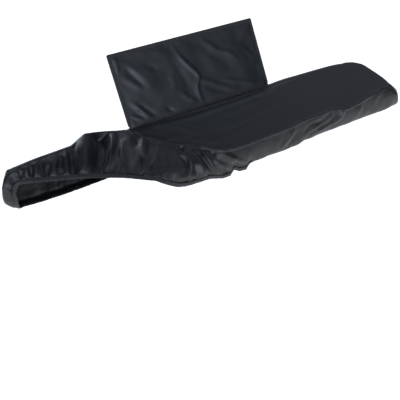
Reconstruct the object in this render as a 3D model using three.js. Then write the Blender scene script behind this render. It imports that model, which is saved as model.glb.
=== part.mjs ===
// Fitted dust cover for an 88-key digital piano, as it hangs on the instrument
// with its front left corner pushed back. Millimetres, +Z up, +X along the
// keyboard towards the treble end, +Y from the player to the back.
//
// Pieces: a top panel; one skirt strip sewn round its edge; an elastic binding
// round the skirt's hem; and, in the back seam, a flat sleeve for the music
// rest, made of a front and a back panel with a binding round three edges.
// Every sheet is laid out as a grid over its middle surface and then given
// its thickness, so that the solids are the cloth and the inside is open.
//
// The tables are written in the instrument's own coordinates: x from its bass
// end, y from its front face, z from its underside. ORIGIN moves them to the
// part's frame, whose origin lies under the top, on the instrument's back
// ledge, midway along.

import * as THREE from "three";

const ORIGIN = { x: 680, y: 214, z: 117 };
const CLOTH = 2.0; // thickness of the coated cloth as modelled
const GAP = 0.4; // between pieces sewn to each other
const BAND_GAP = 1.2; // between skirt and binding, along the cloth
const BAND_WIDTH = 15; // elastic binding, seen flat
const BAND_THICKNESS = 3.4;

const SLEEVE = {
  left: 403,
  right: 960,
  footY: 237.5,
  footZ: 118,
  height: 236.5, // along the slope
  lean: 26.6, // degrees back from upright
  half: 6.5, // from the middle plane to a panel's middle surface
  halfAtEdge: 1.9,
  margin: 10, // flat sewn border
  rise: 20, // over which the panel fills out behind the border
  sheet: 1.6,
};
const BINDING = { width: 8.5, thickness: 1.2, clear: 0.4 };

const COLOURS = {
  top: 0x24272b,
  skirt: 0x26282c,
  band: 0x1d1e21,
  sleeve: 0x272b30,
  binding: 0x15171a,
};

// Sections of the top panel at x. The front seam is (fy, fz); the ledge starts
// at (ly, lz); the crest is (cy, cz); the back seam is (by, bz). sag is how far
// the cloth dips between the front seam and the ledge. From x 385 down, the
// front seam has been pushed up on to the back ridge and the panel hangs behind.
const TOP = [
  { x: 6, fy: 243, fz: 104, sag: 0, ly: 252, lz: 102, cy: 263, cz: 80, by: 263, bz: 45 },
  { x: 50, fy: 243, fz: 109, sag: 0, ly: 254, lz: 107, cy: 266, cz: 83, by: 264, bz: 42 },
  { x: 102, fy: 244, fz: 113, sag: 0, ly: 254, lz: 111, cy: 267, cz: 88, by: 264, bz: 44 },
  { x: 150, fy: 243, fz: 115, sag: 0, ly: 255, lz: 112, cy: 267, cz: 84, by: 265, bz: 41 },
  { x: 200, fy: 244, fz: 116, sag: 0, ly: 255, lz: 114, cy: 268, cz: 86, by: 264, bz: 44 },
  { x: 237, fy: 244, fz: 135, sag: 0, ly: 255, lz: 131, cy: 269, cz: 92, by: 265, bz: 43 },
  { x: 254, fy: 244, fz: 143, sag: 0, ly: 256, lz: 138, cy: 270, cz: 95, by: 265, bz: 42 },
  { x: 277, fy: 244, fz: 139, sag: 0, ly: 256, lz: 135, cy: 270, cz: 93, by: 264, bz: 43 },
  { x: 320, fy: 244, fz: 130, sag: 0, ly: 255, lz: 127, cy: 268, cz: 92, by: 264, bz: 48 },
  { x: 348, fy: 243, fz: 123, sag: 0, ly: 253, lz: 120, cy: 265, cz: 97, by: 263, bz: 60 },
  { x: 368, fy: 240, fz: 117, sag: 0, ly: 249, lz: 117, cy: 259, cz: 106, by: 261, bz: 84 },
  { x: 388, fy: 226, fz: 116, sag: 0, ly: 234, lz: 117, cy: 241, cz: 117, by: 249, bz: 108 },
  { x: 400, fy: 198, fz: 115, sag: 1, ly: 213, lz: 116, cy: 228, cz: 117, by: 234, bz: 117 },
  { x: 414, fy: 163, fz: 115, sag: 2, ly: 208, lz: 118, cy: 225, cz: 118, by: 232, bz: 118 },
  { x: 440, fy: 127, fz: 110, sag: 3, ly: 204, lz: 118, cy: 225, cz: 118, by: 232, bz: 118 },
  { x: 476, fy: 88, fz: 101, sag: 3, ly: 200, lz: 118, cy: 225, cz: 118, by: 232, bz: 118 },
  { x: 527, fy: 60, fz: 92, sag: 3, ly: 197, lz: 118, cy: 225, cz: 118, by: 232, bz: 118 },
  { x: 563, fy: 26, fz: 86, sag: 3, ly: 195, lz: 118, cy: 225, cz: 118, by: 232, bz: 118 },
  { x: 600, fy: -6, fz: 79, sag: 3, ly: 194, lz: 118, cy: 225, cz: 118, by: 232, bz: 118 },
  { x: 660, fy: -8, fz: 72, sag: 2, ly: 193, lz: 118, cy: 225, cz: 118, by: 232, bz: 118 },
  { x: 740, fy: -8, fz: 73, sag: 1, ly: 192, lz: 118, cy: 225, cz: 118, by: 232, bz: 118 },
  { x: 860, fy: -8, fz: 75, sag: 1, ly: 191, lz: 118, cy: 225, cz: 118, by: 232, bz: 118 },
  { x: 950, fy: -8, fz: 83, sag: 2, ly: 190, lz: 116, cy: 226, cz: 118, by: 233, bz: 117 },
  { x: 1045, fy: -9, fz: 83, sag: 3, ly: 190, lz: 116, cy: 232, cz: 120, by: 245, bz: 113 },
  { x: 1118, fy: -14, fz: 71, sag: 1, ly: 189, lz: 115, cy: 232, cz: 119, by: 246, bz: 110 },
  { x: 1210, fy: -10, fz: 82, sag: 2, ly: 188, lz: 112, cy: 232, cz: 116, by: 246, bz: 107 },
  { x: 1300, fy: -7, fz: 92, sag: 2, ly: 186, lz: 110, cy: 230, cz: 113, by: 243, bz: 105 },
  { x: 1350, fy: -4, fz: 93, sag: 1, ly: 184, lz: 108, cy: 226, cz: 109, by: 240, bz: 101 },
];

// Where the panel's two ends lie, by w, the share of the way from front to back.
const ENDS = [
  { w: 0.0, left: 6, right: 1306 },
  { w: 0.08, left: 2, right: 1334 },
  { w: 0.22, left: -2, right: 1349 },
  { w: 0.5, left: -7, right: 1361 },
  { w: 0.72, left: -10, right: 1366 },
  { w: 0.86, left: -8, right: 1352 },
  { w: 1.0, left: -4, right: 1298 },
];
const END_REACH = 170; // how far in from an end its curve is felt

// Sections of the skirt. at is the seam's x on the front and back, and w on the
// ends. The lower edge of the section is (ex, ey, ez) and the hem's free edge
// is (hx, hy, hz): it is tucked under the instrument, hangs loose, or lies on
// the keys. dip is how far the cloth passes below the straight line from edge to
// hem, puff how far it stands out between seam and edge.
const FRONT = [
  { at: 1350, ex: 1366, ey: -13, ez: 21, hx: 1336, hy: 33, hz: -3, dip: 7, puff: 19 },
  { at: 1300, ex: 1312, ey: -12, ez: 14, hx: 1304, hy: 30, hz: -5, dip: 7, puff: 9 },
  { at: 1210, ex: 1212, ey: -9, ez: 13, hx: 1211, hy: 30, hz: -5, dip: 7, puff: 4 },
  { at: 1122, ex: 1116, ey: -9, ez: 12, hx: 1120, hy: 32, hz: -4, dip: 7, puff: 5 },
  { at: 1045, ex: 1036, ey: -9, ez: 13, hx: 1043, hy: 31, hz: -5, dip: 7, puff: 2 },
  { at: 950, ex: 946, ey: -9, ez: 10, hx: 949, hy: 33, hz: -6, dip: 7, puff: 4 },
  { at: 860, ex: 858, ey: -9, ez: 0, hx: 860, hy: 31, hz: -8, dip: 7, puff: 4 },
  { at: 770, ex: 769, ey: -9, ez: 3, hx: 770, hy: 28, hz: -8, dip: 7, puff: 5 },
  { at: 728, ex: 727, ey: -9, ez: 3, hx: 727, hy: 16, hz: -9, dip: 4, puff: 5 },
  { at: 700, ex: 699, ey: -10, ez: 10, hx: 698, hy: -4, hz: -7, dip: 1, puff: 6 },
  { at: 681, ex: 680, ey: -12, ez: 8, hx: 680, hy: -9, hz: -18, dip: 0, puff: 7 },
  { at: 660, ex: 658, ey: -11, ez: 6, hx: 658, hy: -8, hz: -16, dip: 0, puff: 7 },
  { at: 640, ex: 637, ey: -9, ez: 14, hx: 637, hy: -6, hz: -6, dip: 0, puff: 6 },
  { at: 622, ex: 618, ey: -12, ez: 8, hx: 619, hy: -9, hz: -19, dip: 0, puff: 7 },
  { at: 600, ex: 596, ey: -12, ez: 8, hx: 598, hy: -9, hz: -19, dip: 0, puff: 8 },
  { at: 583, ex: 573, ey: -12, ez: 14, hx: 573, hy: -9, hz: -12, dip: 0, puff: 9 },
  { at: 563, ex: 545, ey: -11, ez: 24, hx: 541, hy: -8, hz: -3, dip: 0, puff: 10 },
  { at: 527, ex: 490, ey: -10, ez: 30, hx: 480, hy: -7, hz: 0, dip: 0, puff: 12 },
  { at: 490, ex: 446, ey: -6, ez: 42, hx: 433, hy: -8, hz: 9, dip: 0, puff: 12 },
  { at: 476, ex: 421, ey: 2, ez: 56, hx: 404, hy: -9, hz: 25, dip: 0, puff: 12 },
  { at: 455, ex: 396, ey: 14, ez: 72, hx: 374, hy: -10, hz: 46, dip: 0, puff: 10 },
  { at: 436, ex: 372, ey: 28, ez: 81, hx: 350, hy: -6, hz: 62, dip: 0, puff: 10 },
  { at: 414, ex: 348, ey: 50, ez: 85, hx: 325, hy: 9, hz: 67, dip: 0, puff: 9 },
  { at: 400, ex: 332, ey: 72, ez: 87, hx: 308, hy: 26, hz: 68, dip: 0, puff: 9 },
  { at: 388, ex: 318, ey: 92, ez: 88, hx: 292, hy: 43, hz: 68, dip: 0, puff: 9 },
  { at: 368, ex: 302, ey: 106, ez: 89, hx: 275, hy: 59, hz: 68, dip: 0, puff: 8 },
  { at: 348, ex: 286, ey: 116, ez: 90, hx: 262, hy: 69, hz: 68, dip: 0, puff: 8 },
  { at: 320, ex: 262, ey: 130, ez: 90, hx: 240, hy: 86, hz: 68, dip: 0, puff: 6 },
  { at: 300, ex: 246, ey: 138, ez: 88, hx: 224, hy: 98, hz: 68, dip: 0, puff: 2 },
  { at: 277, ex: 229, ey: 146, ez: 90, hx: 208, hy: 110, hz: 68, dip: 0, puff: 3 },
  { at: 254, ex: 208, ey: 156, ez: 93, hx: 190, hy: 122, hz: 68, dip: 0, puff: 7 },
  { at: 237, ex: 194, ey: 162, ez: 92, hx: 176, hy: 131, hz: 68, dip: 0, puff: 7 },
  { at: 200, ex: 165, ey: 174, ez: 86, hx: 149, hy: 146, hz: 68, dip: 0, puff: 7 },
  { at: 167, ex: 135, ey: 182, ez: 86, hx: 122, hy: 159, hz: 68, dip: 0, puff: 7 },
  { at: 102, ex: 80, ey: 202, ez: 86, hx: 69, hy: 184, hz: 68, dip: 0, puff: 7 },
  { at: 45, ex: 33, ey: 218, ez: 86, hx: 32, hy: 203, hz: 67, dip: 0, puff: 7 },
];
const LEFT = [
  { at: 0.06, ex: -14, ey: 226, ez: 88, hx: 8, hy: 209, hz: 62, dip: 0, puff: 1 },
  { at: 0.38, ex: -35, ey: 217, ez: 60, hx: -3, hy: 201, hz: 40, dip: 1, puff: 3 },
  { at: 0.66, ex: -38, ey: 221, ez: 26, hx: -3, hy: 199, hz: 14, dip: 3, puff: 7 },
  { at: 0.9, ex: -26, ey: 240, ez: -3, hx: 0, hy: 206, hz: -8, dip: 6, puff: 7 },
];
const BACK = [
  { at: 6, ex: -4, ey: 258, ez: -14, hx: 20, hy: 214, hz: -13, dip: 7, puff: 4 },
  { at: 50, ex: 50, ey: 263, ez: -20, hx: 54, hy: 212, hz: -15, dip: 7, puff: 4 },
  { at: 150, ex: 150, ey: 264, ez: -24, hx: 151, hy: 209, hz: -16, dip: 7, puff: 5 },
  { at: 254, ex: 254, ey: 263, ez: -22, hx: 254, hy: 210, hz: -15, dip: 7, puff: 4 },
  { at: 348, ex: 347, ey: 261, ez: -14, hx: 348, hy: 211, hz: -13, dip: 7, puff: 4 },
  { at: 388, ex: 386, ey: 257, ez: -6, hx: 387, hy: 212, hz: -11, dip: 7, puff: 4 },
  { at: 440, ex: 440, ey: 254, ez: 0, hx: 440, hy: 213, hz: -9, dip: 7, puff: 3 },
  { at: 600, ex: 600, ey: 255, ez: 1, hx: 600, hy: 214, hz: -8, dip: 7, puff: 4 },
  { at: 740, ex: 741, ey: 254, ez: -1, hx: 740, hy: 213, hz: -8, dip: 7, puff: 3 },
  { at: 860, ex: 860, ey: 256, ez: 1, hx: 860, hy: 214, hz: -8, dip: 7, puff: 5 },
  { at: 1045, ex: 1045, ey: 254, ez: 2, hx: 1045, hy: 213, hz: -7, dip: 7, puff: 4 },
  { at: 1210, ex: 1211, ey: 253, ez: 4, hx: 1209, hy: 212, hz: -6, dip: 7, puff: 4 },
  { at: 1350, ex: 1308, ey: 252, ez: 6, hx: 1284, hy: 211, hz: -6, dip: 7, puff: 4 },
];
const RIGHT = [
  { at: 0.9, ex: 1350, ey: 231, ez: 9, hx: 1314, hy: 200, hz: -6, dip: 7, puff: 4 },
  { at: 0.75, ex: 1371, ey: 190, ez: 13, hx: 1329, hy: 176, hz: -5, dip: 7, puff: 5 },
  { at: 0.5, ex: 1375, ey: 122, ez: 17, hx: 1334, hy: 122, hz: -4, dip: 7, puff: 7 },
  { at: 0.25, ex: 1376, ey: 52, ez: 19, hx: 1335, hy: 66, hz: -3, dip: 7, puff: 12 },
  { at: 0.08, ex: 1375, ey: 6, ez: 22, hx: 1337, hy: 42, hz: -2, dip: 7, puff: 17 },
];

// The main creases of the skirt's front, as soft ridges (depth above 0) and
// troughs (below 0). at is the seam's x, lean how far the crease's foot lies
// from it along the seam, half its half width, top and foot the shares of the
// section that it runs between.
const CREASES = [
  { at: 60, lean: 4, half: 13, depth: 3, top: 0.0, foot: 1.0 },
  { at: 88, lean: 0, half: 9, depth: -3, top: 0.3, foot: 1.0 },
  { at: 128, lean: 6, half: 16, depth: 4, top: 0.0, foot: 1.0 },
  { at: 165, lean: -4, half: 11, depth: -5, top: 0.2, foot: 1.0 },
  { at: 196, lean: 6, half: 13, depth: 6, top: 0.0, foot: 0.9 },
  { at: 222, lean: -2, half: 12, depth: -8, top: 0.0, foot: 1.0 },
  { at: 254, lean: 6, half: 18, depth: 10, top: 0.0, foot: 0.9 },
  { at: 296, lean: -4, half: 21, depth: -17, top: 0.0, foot: 0.95 },
  { at: 340, lean: 8, half: 24, depth: 10, top: 0.0, foot: 1.0 },
  { at: 372, lean: -6, half: 9, depth: -5, top: 0.0, foot: 0.6 },
  { at: 392, lean: 10, half: 9, depth: 5, top: 0.1, foot: 1.0 },
  { at: 409, lean: -4, half: 9, depth: -8, top: 0.0, foot: 0.9 },
  { at: 447, lean: 20, half: 14, depth: 8, top: 0.0, foot: 0.9 },
  { at: 482, lean: -30, half: 11, depth: -11, top: 0.0, foot: 0.8 },
  { at: 515, lean: -14, half: 13, depth: 9, top: 0.0, foot: 0.9 },
  { at: 545, lean: -40, half: 10, depth: -9, top: 0.1, foot: 0.9 },
  { at: 578, lean: -18, half: 13, depth: 8, top: 0.1, foot: 1.0 },
  { at: 640, lean: -10, half: 14, depth: -4, top: 0.3, foot: 1.0 },
  { at: 905, lean: -60, half: 18, depth: 3, top: 0.2, foot: 0.9 },
  { at: 1000, lean: -90, half: 16, depth: -6, top: 0.1, foot: 0.9 },
  { at: 1075, lean: -90, half: 15, depth: 8, top: 0.0, foot: 0.9 },
  { at: 1240, lean: 30, half: 24, depth: 3, top: 0.2, foot: 1.0 },
];

// Folds of the sleeve's front panel, as soft ridges and troughs along the line
// from (a0, b0) to (a1, b1): a from its left edge, b up from its foot.
const SLEEVE_FOLDS = [
  { a0: 228, b0: 222, a1: 242, b1: 167, half: 9, depth: 3 },
  { a0: 242, b0: 167, a1: 292, b1: 104, half: 9, depth: 4 },
  { a0: 292, b0: 104, a1: 273, b1: 80, half: 9, depth: 4 },
  { a0: 273, b0: 80, a1: 274, b1: 15, half: 10, depth: 3.5 },
  { a0: 262, b0: 96, a1: 240, b1: 60, half: 12, depth: -1.5 },
  { a0: 29, b0: 199, a1: 83, b1: 114, half: 13, depth: -2.5 },
  { a0: 70, b0: 214, a1: 130, b1: 80, half: 22, depth: 3 },
  { a0: 26, b0: 70, a1: 55, b1: 22, half: 12, depth: -2.5 },
  { a0: 130, b0: 30, a1: 165, b1: 18, half: 10, depth: -2 },
  { a0: 346, b0: 204, a1: 436, b1: 131, half: 12, depth: 2 },
  { a0: 305, b0: 83, a1: 526, b1: 14, half: 12, depth: 2.5 },
];

// How finely the cloth is divided along the keyboard: so many steps up to x.
const STEPS = [
  { to: 6, steps: 0 },
  { to: 200, steps: 11 },
  { to: 420, steps: 17 },
  { to: 600, steps: 13 },
  { to: 720, steps: 7 },
  { to: 1180, steps: 11 },
  { to: 1350, steps: 5 },
];
const TOP_ACROSS = 9;
const SKIRT_DOWN = 6;
const BAND_ACROSS = 1;
const SLEEVE_FRONT_STEPS = { along: 24, up: 12 };
const SLEEVE_BACK_STEPS = { along: 14, up: 7 };

const V = (x, y, z) => new THREE.Vector3(x, y, z);
const lerp = (a, b, t) => a + (b - a) * t;
const clamp = (t, a, b) => Math.min(b, Math.max(a, t));
const smooth = (a, b, t) => {
  const s = clamp((t - a) / (b - a), 0, 1);
  return s * s * (3 - 2 * s);
};

// A curve through the table's rows that doesn't overshoot them.
function column(rows, key, name) {
  const x = rows.map((r) => r[key]);
  const y = rows.map((r) => r[name]);
  const n = x.length;
  const h = x.slice(1).map((v, i) => v - x[i]);
  const d = h.map((v, i) => (y[i + 1] - y[i]) / v);
  const m = y.map((_, i) => {
    if (i === 0) return d[0];
    if (i === n - 1) return d[n - 2];
    if (d[i - 1] * d[i] <= 0) return 0;
    const a = 2 * h[i] + h[i - 1];
    const b = h[i] + 2 * h[i - 1];
    return (a + b) / (a / d[i - 1] + b / d[i]);
  });
  return (t) => {
    if (t <= x[0]) return y[0];
    if (t >= x[n - 1]) return y[n - 1];
    let i = 0;
    while (t > x[i + 1]) i++;
    const s = (t - x[i]) / h[i];
    const s2 = s * s;
    const s3 = s2 * s;
    return (
      (2 * s3 - 3 * s2 + 1) * y[i] +
      (s3 - 2 * s2 + s) * h[i] * m[i] +
      (3 * s2 - 2 * s3) * y[i + 1] +
      (s3 - s2) * h[i] * m[i + 1]
    );
  };
}
const columns = (rows, key) =>
  Object.fromEntries(
    Object.keys(rows[0])
      .filter((k) => k !== key)
      .map((k) => [k, column(rows, key, k)]),
  );

// The point a share t of the way along a smooth curve through the key points.
function along(points, t) {
  const at = [0];
  for (let i = 1; i < points.length; i++)
    at.push(at[i - 1] + Math.max(points[i].distanceTo(points[i - 1]), 1e-3));
  const total = at[at.length - 1];
  const s = clamp(t, 0, 1) * total;
  let i = 0;
  while (i < points.length - 2 && s > at[i + 1]) i++;
  const slope = (j) => {
    const a = Math.max(j - 1, 0);
    const b = Math.min(j + 1, points.length - 1);
    return points[b].clone().sub(points[a]).divideScalar(at[b] - at[a]);
  };
  const h = at[i + 1] - at[i];
  const u = (s - at[i]) / h;
  const u2 = u * u;
  const u3 = u2 * u;
  return points[i]
    .clone()
    .multiplyScalar(2 * u3 - 3 * u2 + 1)
    .addScaledVector(slope(i), (u3 - 2 * u2 + u) * h)
    .addScaledVector(points[i + 1], 3 * u2 - 2 * u3)
    .addScaledVector(slope(i + 1), (u3 - u2) * h);
}

const top = columns(TOP, "x");
const ends = columns(ENDS, "w");

// Middle surface of the top panel: x along the keyboard, w from front to back.
function topAt(x, w) {
  const front = V(0, top.fy(x), top.fz(x));
  const ledge = V(0, top.ly(x), top.lz(x));
  const half = front.clone().lerp(ledge, 0.5);
  half.z -= top.sag(x);
  const p = along(
    [front, half, ledge, V(0, top.cy(x), top.cz(x)), V(0, top.by(x), top.bz(x))],
    w,
  );
  const first = TOP[0].x;
  const last = TOP[TOP.length - 1].x;
  const fromLeft = clamp((first + END_REACH - x) / END_REACH, 0, 1);
  const fromRight = clamp((x - last + END_REACH) / END_REACH, 0, 1);
  p.x =
    x +
    (ends.left(w) - first) * fromLeft ** 2 +
    (ends.right(w) - last) * fromRight ** 2;
  return p;
}

const stations = [];
for (let i = 1; i < STEPS.length; i++)
  for (let k = i === 1 ? 0 : 1; k <= STEPS[i].steps; k++)
    stations.push(lerp(STEPS[i - 1].to, STEPS[i].to, k / STEPS[i].steps));

// The seam, all the way round: front, bass end, back, treble end.
const across = (n) => Array.from({ length: n + 1 }, (_, k) => k / n);
const seam = [];
for (const x of [...stations].reverse()) seam.push({ side: FRONT, x, w: 0, at: x });
for (const w of across(TOP_ACROSS).slice(1, -1))
  seam.push({ side: LEFT, x: stations[0], w, at: w });
for (const x of stations) seam.push({ side: BACK, x, w: 1, at: x });
for (const w of across(TOP_ACROSS).reverse().slice(1, -1))
  seam.push({ side: RIGHT, x: stations[stations.length - 1], w, at: w });

// Each end's table is closed by the corner rows of the front and the back.
const ordered = (rows) => [...rows].sort((a, b) => a.at - b.at);
const front = ordered(FRONT);
const back = ordered(BACK);
const corner = (row, at) => ({ ...row, at });
const SIDES = new Map([
  [FRONT, columns([{ ...front[0], at: 6, hx: 16, hy: 210, ex: 2, ey: 228, ez: 90 }, ...front], "at")],
  [BACK, columns(back, "at")],
  [LEFT, columns([corner({ ...front[0], hx: 16, hy: 210, ex: 2, ey: 228, ez: 90 }, 0), ...ordered(LEFT), corner(back[0], 1)], "at")],
  [RIGHT, columns([corner(front[front.length - 1], 0), ...ordered(RIGHT), corner(back[back.length - 1], 1)], "at")],
]);

// Behind the sleeve the skirt's top edge stands back from the panel's, and the
// music rest comes up between them.
const mouth = (x) => smooth(386, 404, x) - smooth(958, 978, x);

function seamPoint(s) {
  const p = topAt(s.x, s.w);
  if (s.side === BACK) p.add(V(0, 11.6 * mouth(s.x), -3 * mouth(s.x)));
  return p;
}

const creaseAt = (x, h) =>
  CREASES.reduce((sum, c) => {
    const d = (x - (c.at + c.lean * h)) / c.half;
    const on = smooth(c.top - 0.18, c.top + 0.12, h) * (1 - smooth(c.foot - 0.2, c.foot + 0.05, h));
    return sum + c.depth * Math.exp(-d * d) * on;
  }, 0);

// A whole section of skirt and binding, by h from the seam to the free edge.
const seamPoints = seam.map(seamPoint);
function skirtSection(i) {
  const s = seam[i];
  const n = seam.length;
  const c = SIDES.get(s.side);
  const t = seamPoints[i];
  const tangent = seamPoints[(i + 1) % n].clone().sub(seamPoints[(i + n - 1) % n]);
  const e = V(c.ex(s.at), c.ey(s.at), c.ez(s.at));
  const h = V(c.hx(s.at), c.hy(s.at), c.hz(s.at));
  const outward = tangent.clone().cross(e.clone().sub(t)).normalize();
  const upper = t.clone().lerp(e, 0.5).addScaledVector(outward, c.puff(s.at));
  const lower = e.clone().lerp(h, 0.4);
  lower.z -= c.dip(s.at);
  return { keys: [t, upper, e, lower, h], outward, s };
}
const sections = seam.map((_, i) => skirtSection(i));
function sectionLength(keys) {
  let length = 0;
  let last = along(keys, 0);
  for (let k = 1; k <= 24; k++) {
    const p = along(keys, k / 24);
    length += p.distanceTo(last);
    last = p;
  }
  return length;
}
for (const s of sections) s.length = sectionLength(s.keys);
// The point h of the way down section i; creases fade out where the hem is tucked.
function skirtAt(i, h) {
  const { keys, outward, s } = sections[i];
  const p = along(keys, h);
  if (s.side === FRONT) p.addScaledVector(outward, creaseAt(s.x, h) * (1 - smooth(0.75, 0.95, h)) * smooth(0, 0.12, h + 0.04));
  return p;
}

// Normals of the surface grid[i][j]. loop joins its last row to its first.
function normals(grid, loop) {
  const I = grid.length;
  const J = grid[0].length;
  const at = (i, j) => grid[loop ? (i + I) % I : clamp(i, 0, I - 1)][clamp(j, 0, J - 1)];
  return grid.map((row, i) =>
    row.map((_, j) => {
      const u = at(i + 1, j).clone().sub(at(i - 1, j));
      const v = at(i, j + 1).clone().sub(at(i, j - 1));
      return u.cross(v).normalize();
    }),
  );
}

// Closed solid of a sheet whose middle surface is grid[i][j].
function sheet(grid, thickness, loop = false, normal = normals(grid, loop)) {
  const I = grid.length;
  const J = grid[0].length;
  const position = [];
  for (const side of [1, -1])
    for (let i = 0; i < I; i++)
      for (let j = 0; j < J; j++) {
        const p = grid[i][j].clone().addScaledVector(normal[i][j], (side * thickness) / 2);
        position.push(p.x - ORIGIN.x, p.y - ORIGIN.y, p.z - ORIGIN.z);
      }
  const id = (side, i, j) => side * I * J + ((i + I) % I) * J + j;
  const index = [];
  const quad = (a, b, c, d) => index.push(a, b, c, a, c, d);
  const rows = loop ? I : I - 1;
  for (let i = 0; i < rows; i++) {
    for (let j = 0; j < J - 1; j++) {
      quad(id(0, i, j), id(0, i + 1, j), id(0, i + 1, j + 1), id(0, i, j + 1));
      quad(id(1, i, j), id(1, i, j + 1), id(1, i + 1, j + 1), id(1, i + 1, j));
    }
    quad(id(0, i, 0), id(1, i, 0), id(1, i + 1, 0), id(0, i + 1, 0));
    quad(id(0, i, J - 1), id(0, i + 1, J - 1), id(1, i + 1, J - 1), id(1, i, J - 1));
  }
  if (!loop)
    for (let j = 0; j < J - 1; j++) {
      quad(id(0, 0, j), id(0, 0, j + 1), id(1, 0, j + 1), id(1, 0, j));
      quad(id(0, I - 1, j), id(1, I - 1, j), id(1, I - 1, j + 1), id(0, I - 1, j + 1));
    }
  const g = new THREE.BufferGeometry();
  g.setAttribute("position", new THREE.BufferAttribute(new Float32Array(position), 3));
  g.setIndex(index);
  g.computeVertexNormals();
  return g;
}

// How far each of two sheets is drawn back from their seam to stay GAP apart,
// by the angle they meet at.
const seamInset = seam.map((s, i) => {
  const inner = s.w === 0 ? topAt(s.x, 0.06) : s.w === 1 ? topAt(s.x, 0.94) : null;
  const t = seamPoints[i];
  const flat = inner ?? topAt(s.x + (s.side === LEFT ? 12 : -12), s.w);
  const a = flat.sub(t).angleTo(skirtAt(i, 0.06).sub(t));
  return clamp(CLOTH / 2 / Math.tan(a / 2), 0, 3) + GAP / 2 + 0.1;
});

function topGrid() {
  const grid = stations.map((x) => across(TOP_ACROSS).map((w) => topAt(x, w)));
  const I = grid.length - 1;
  const J = TOP_ACROSS;
  const inset = new Map(seam.map((s, i) => [`${s.x},${s.w}`, seamInset[i]]));
  const insetAt = (i, j) => inset.get(`${stations[i]},${j / J}`);
  const pull = (p, q, by) => p.addScaledVector(q.clone().sub(p).normalize(), by);
  const whole = grid.map((row) => row.map((p) => p.clone()));
  for (let i = 0; i <= I; i++) {
    pull(grid[i][0], whole[i][1], insetAt(i, 0));
    pull(grid[i][J], whole[i][J - 1], insetAt(i, J));
  }
  for (let j = 0; j <= J; j++) {
    pull(grid[0][j], whole[1][j], insetAt(0, j));
    pull(grid[I][j], whole[I - 1][j], insetAt(I, j));
  }
  return grid;
}

// The skirt with its binding as one surface, so that the two end face to face.
function skirtGrid() {
  return sections.map((s, i) => {
    const start = seamInset[i] / s.length;
    const end = 1 - (BAND_WIDTH + BAND_GAP) / s.length;
    return [
      ...across(SKIRT_DOWN).map((k) => lerp(start, end, k)),
      ...across(BAND_ACROSS).map((k) => lerp(1 - BAND_WIDTH / s.length, 1, k)),
    ].map((h) => skirtAt(i, h));
  });
}

// Sleeve panels. n is +1 for the front and -1 for the back.
const lean = THREE.MathUtils.degToRad(SLEEVE.lean);
const up = V(0, Math.sin(lean), Math.cos(lean));
const out = V(0, -Math.cos(lean), Math.sin(lean));
const sleeveWidth = SLEEVE.right - SLEEVE.left;
function sleevePoint(x, b, n) {
  return V(x, SLEEVE.footY, SLEEVE.footZ)
    .addScaledVector(up, b)
    .addScaledVector(out, n);
}
function sleeveFold(a, b) {
  return SLEEVE_FOLDS.reduce((sum, f) => {
    const run = Math.hypot(f.a1 - f.a0, f.b1 - f.b0);
    const u = ((a - f.a0) * (f.a1 - f.a0) + (b - f.b0) * (f.b1 - f.b0)) / run ** 2;
    const t = clamp(u, 0, 1);
    const d = Math.hypot(a - lerp(f.a0, f.a1, t), b - lerp(f.b0, f.b1, t)) / f.half;
    return sum + f.depth * Math.exp(-d * d);
  }, 0);
}
function sleeveGrid(n, steps) {
  const { left, height, half, halfAtEdge, margin, rise } = SLEEVE;
  const low = n > 0 ? -0.4 : -0.8;
  const full = margin + rise;
  const inner = (steps) => across(steps).slice(1, -1);
  const xs = [0, margin, full];
  for (const k of inner(steps.along - 4)) xs.push(lerp(full, sleeveWidth - full, k));
  xs.push(sleeveWidth - full, sleeveWidth - margin, sleeveWidth);
  const bs = [low];
  for (const k of inner(steps.up - 2)) bs.push(lerp(low, height - full, k));
  bs.push(height - full, height - margin, height);
  return xs.map((a) =>
    bs.map((b) => {
      const edge = Math.min(a, sleeveWidth - a, height - b);
      const filled = smooth(margin, margin + rise, edge);
      const fold = n > 0 ? sleeveFold(a, b) * filled * smooth(0, 25, b) : 0;
      return sleevePoint(left + a, b, n * lerp(halfAtEdge, half + fold, filled));
    }),
  );
}

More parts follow.
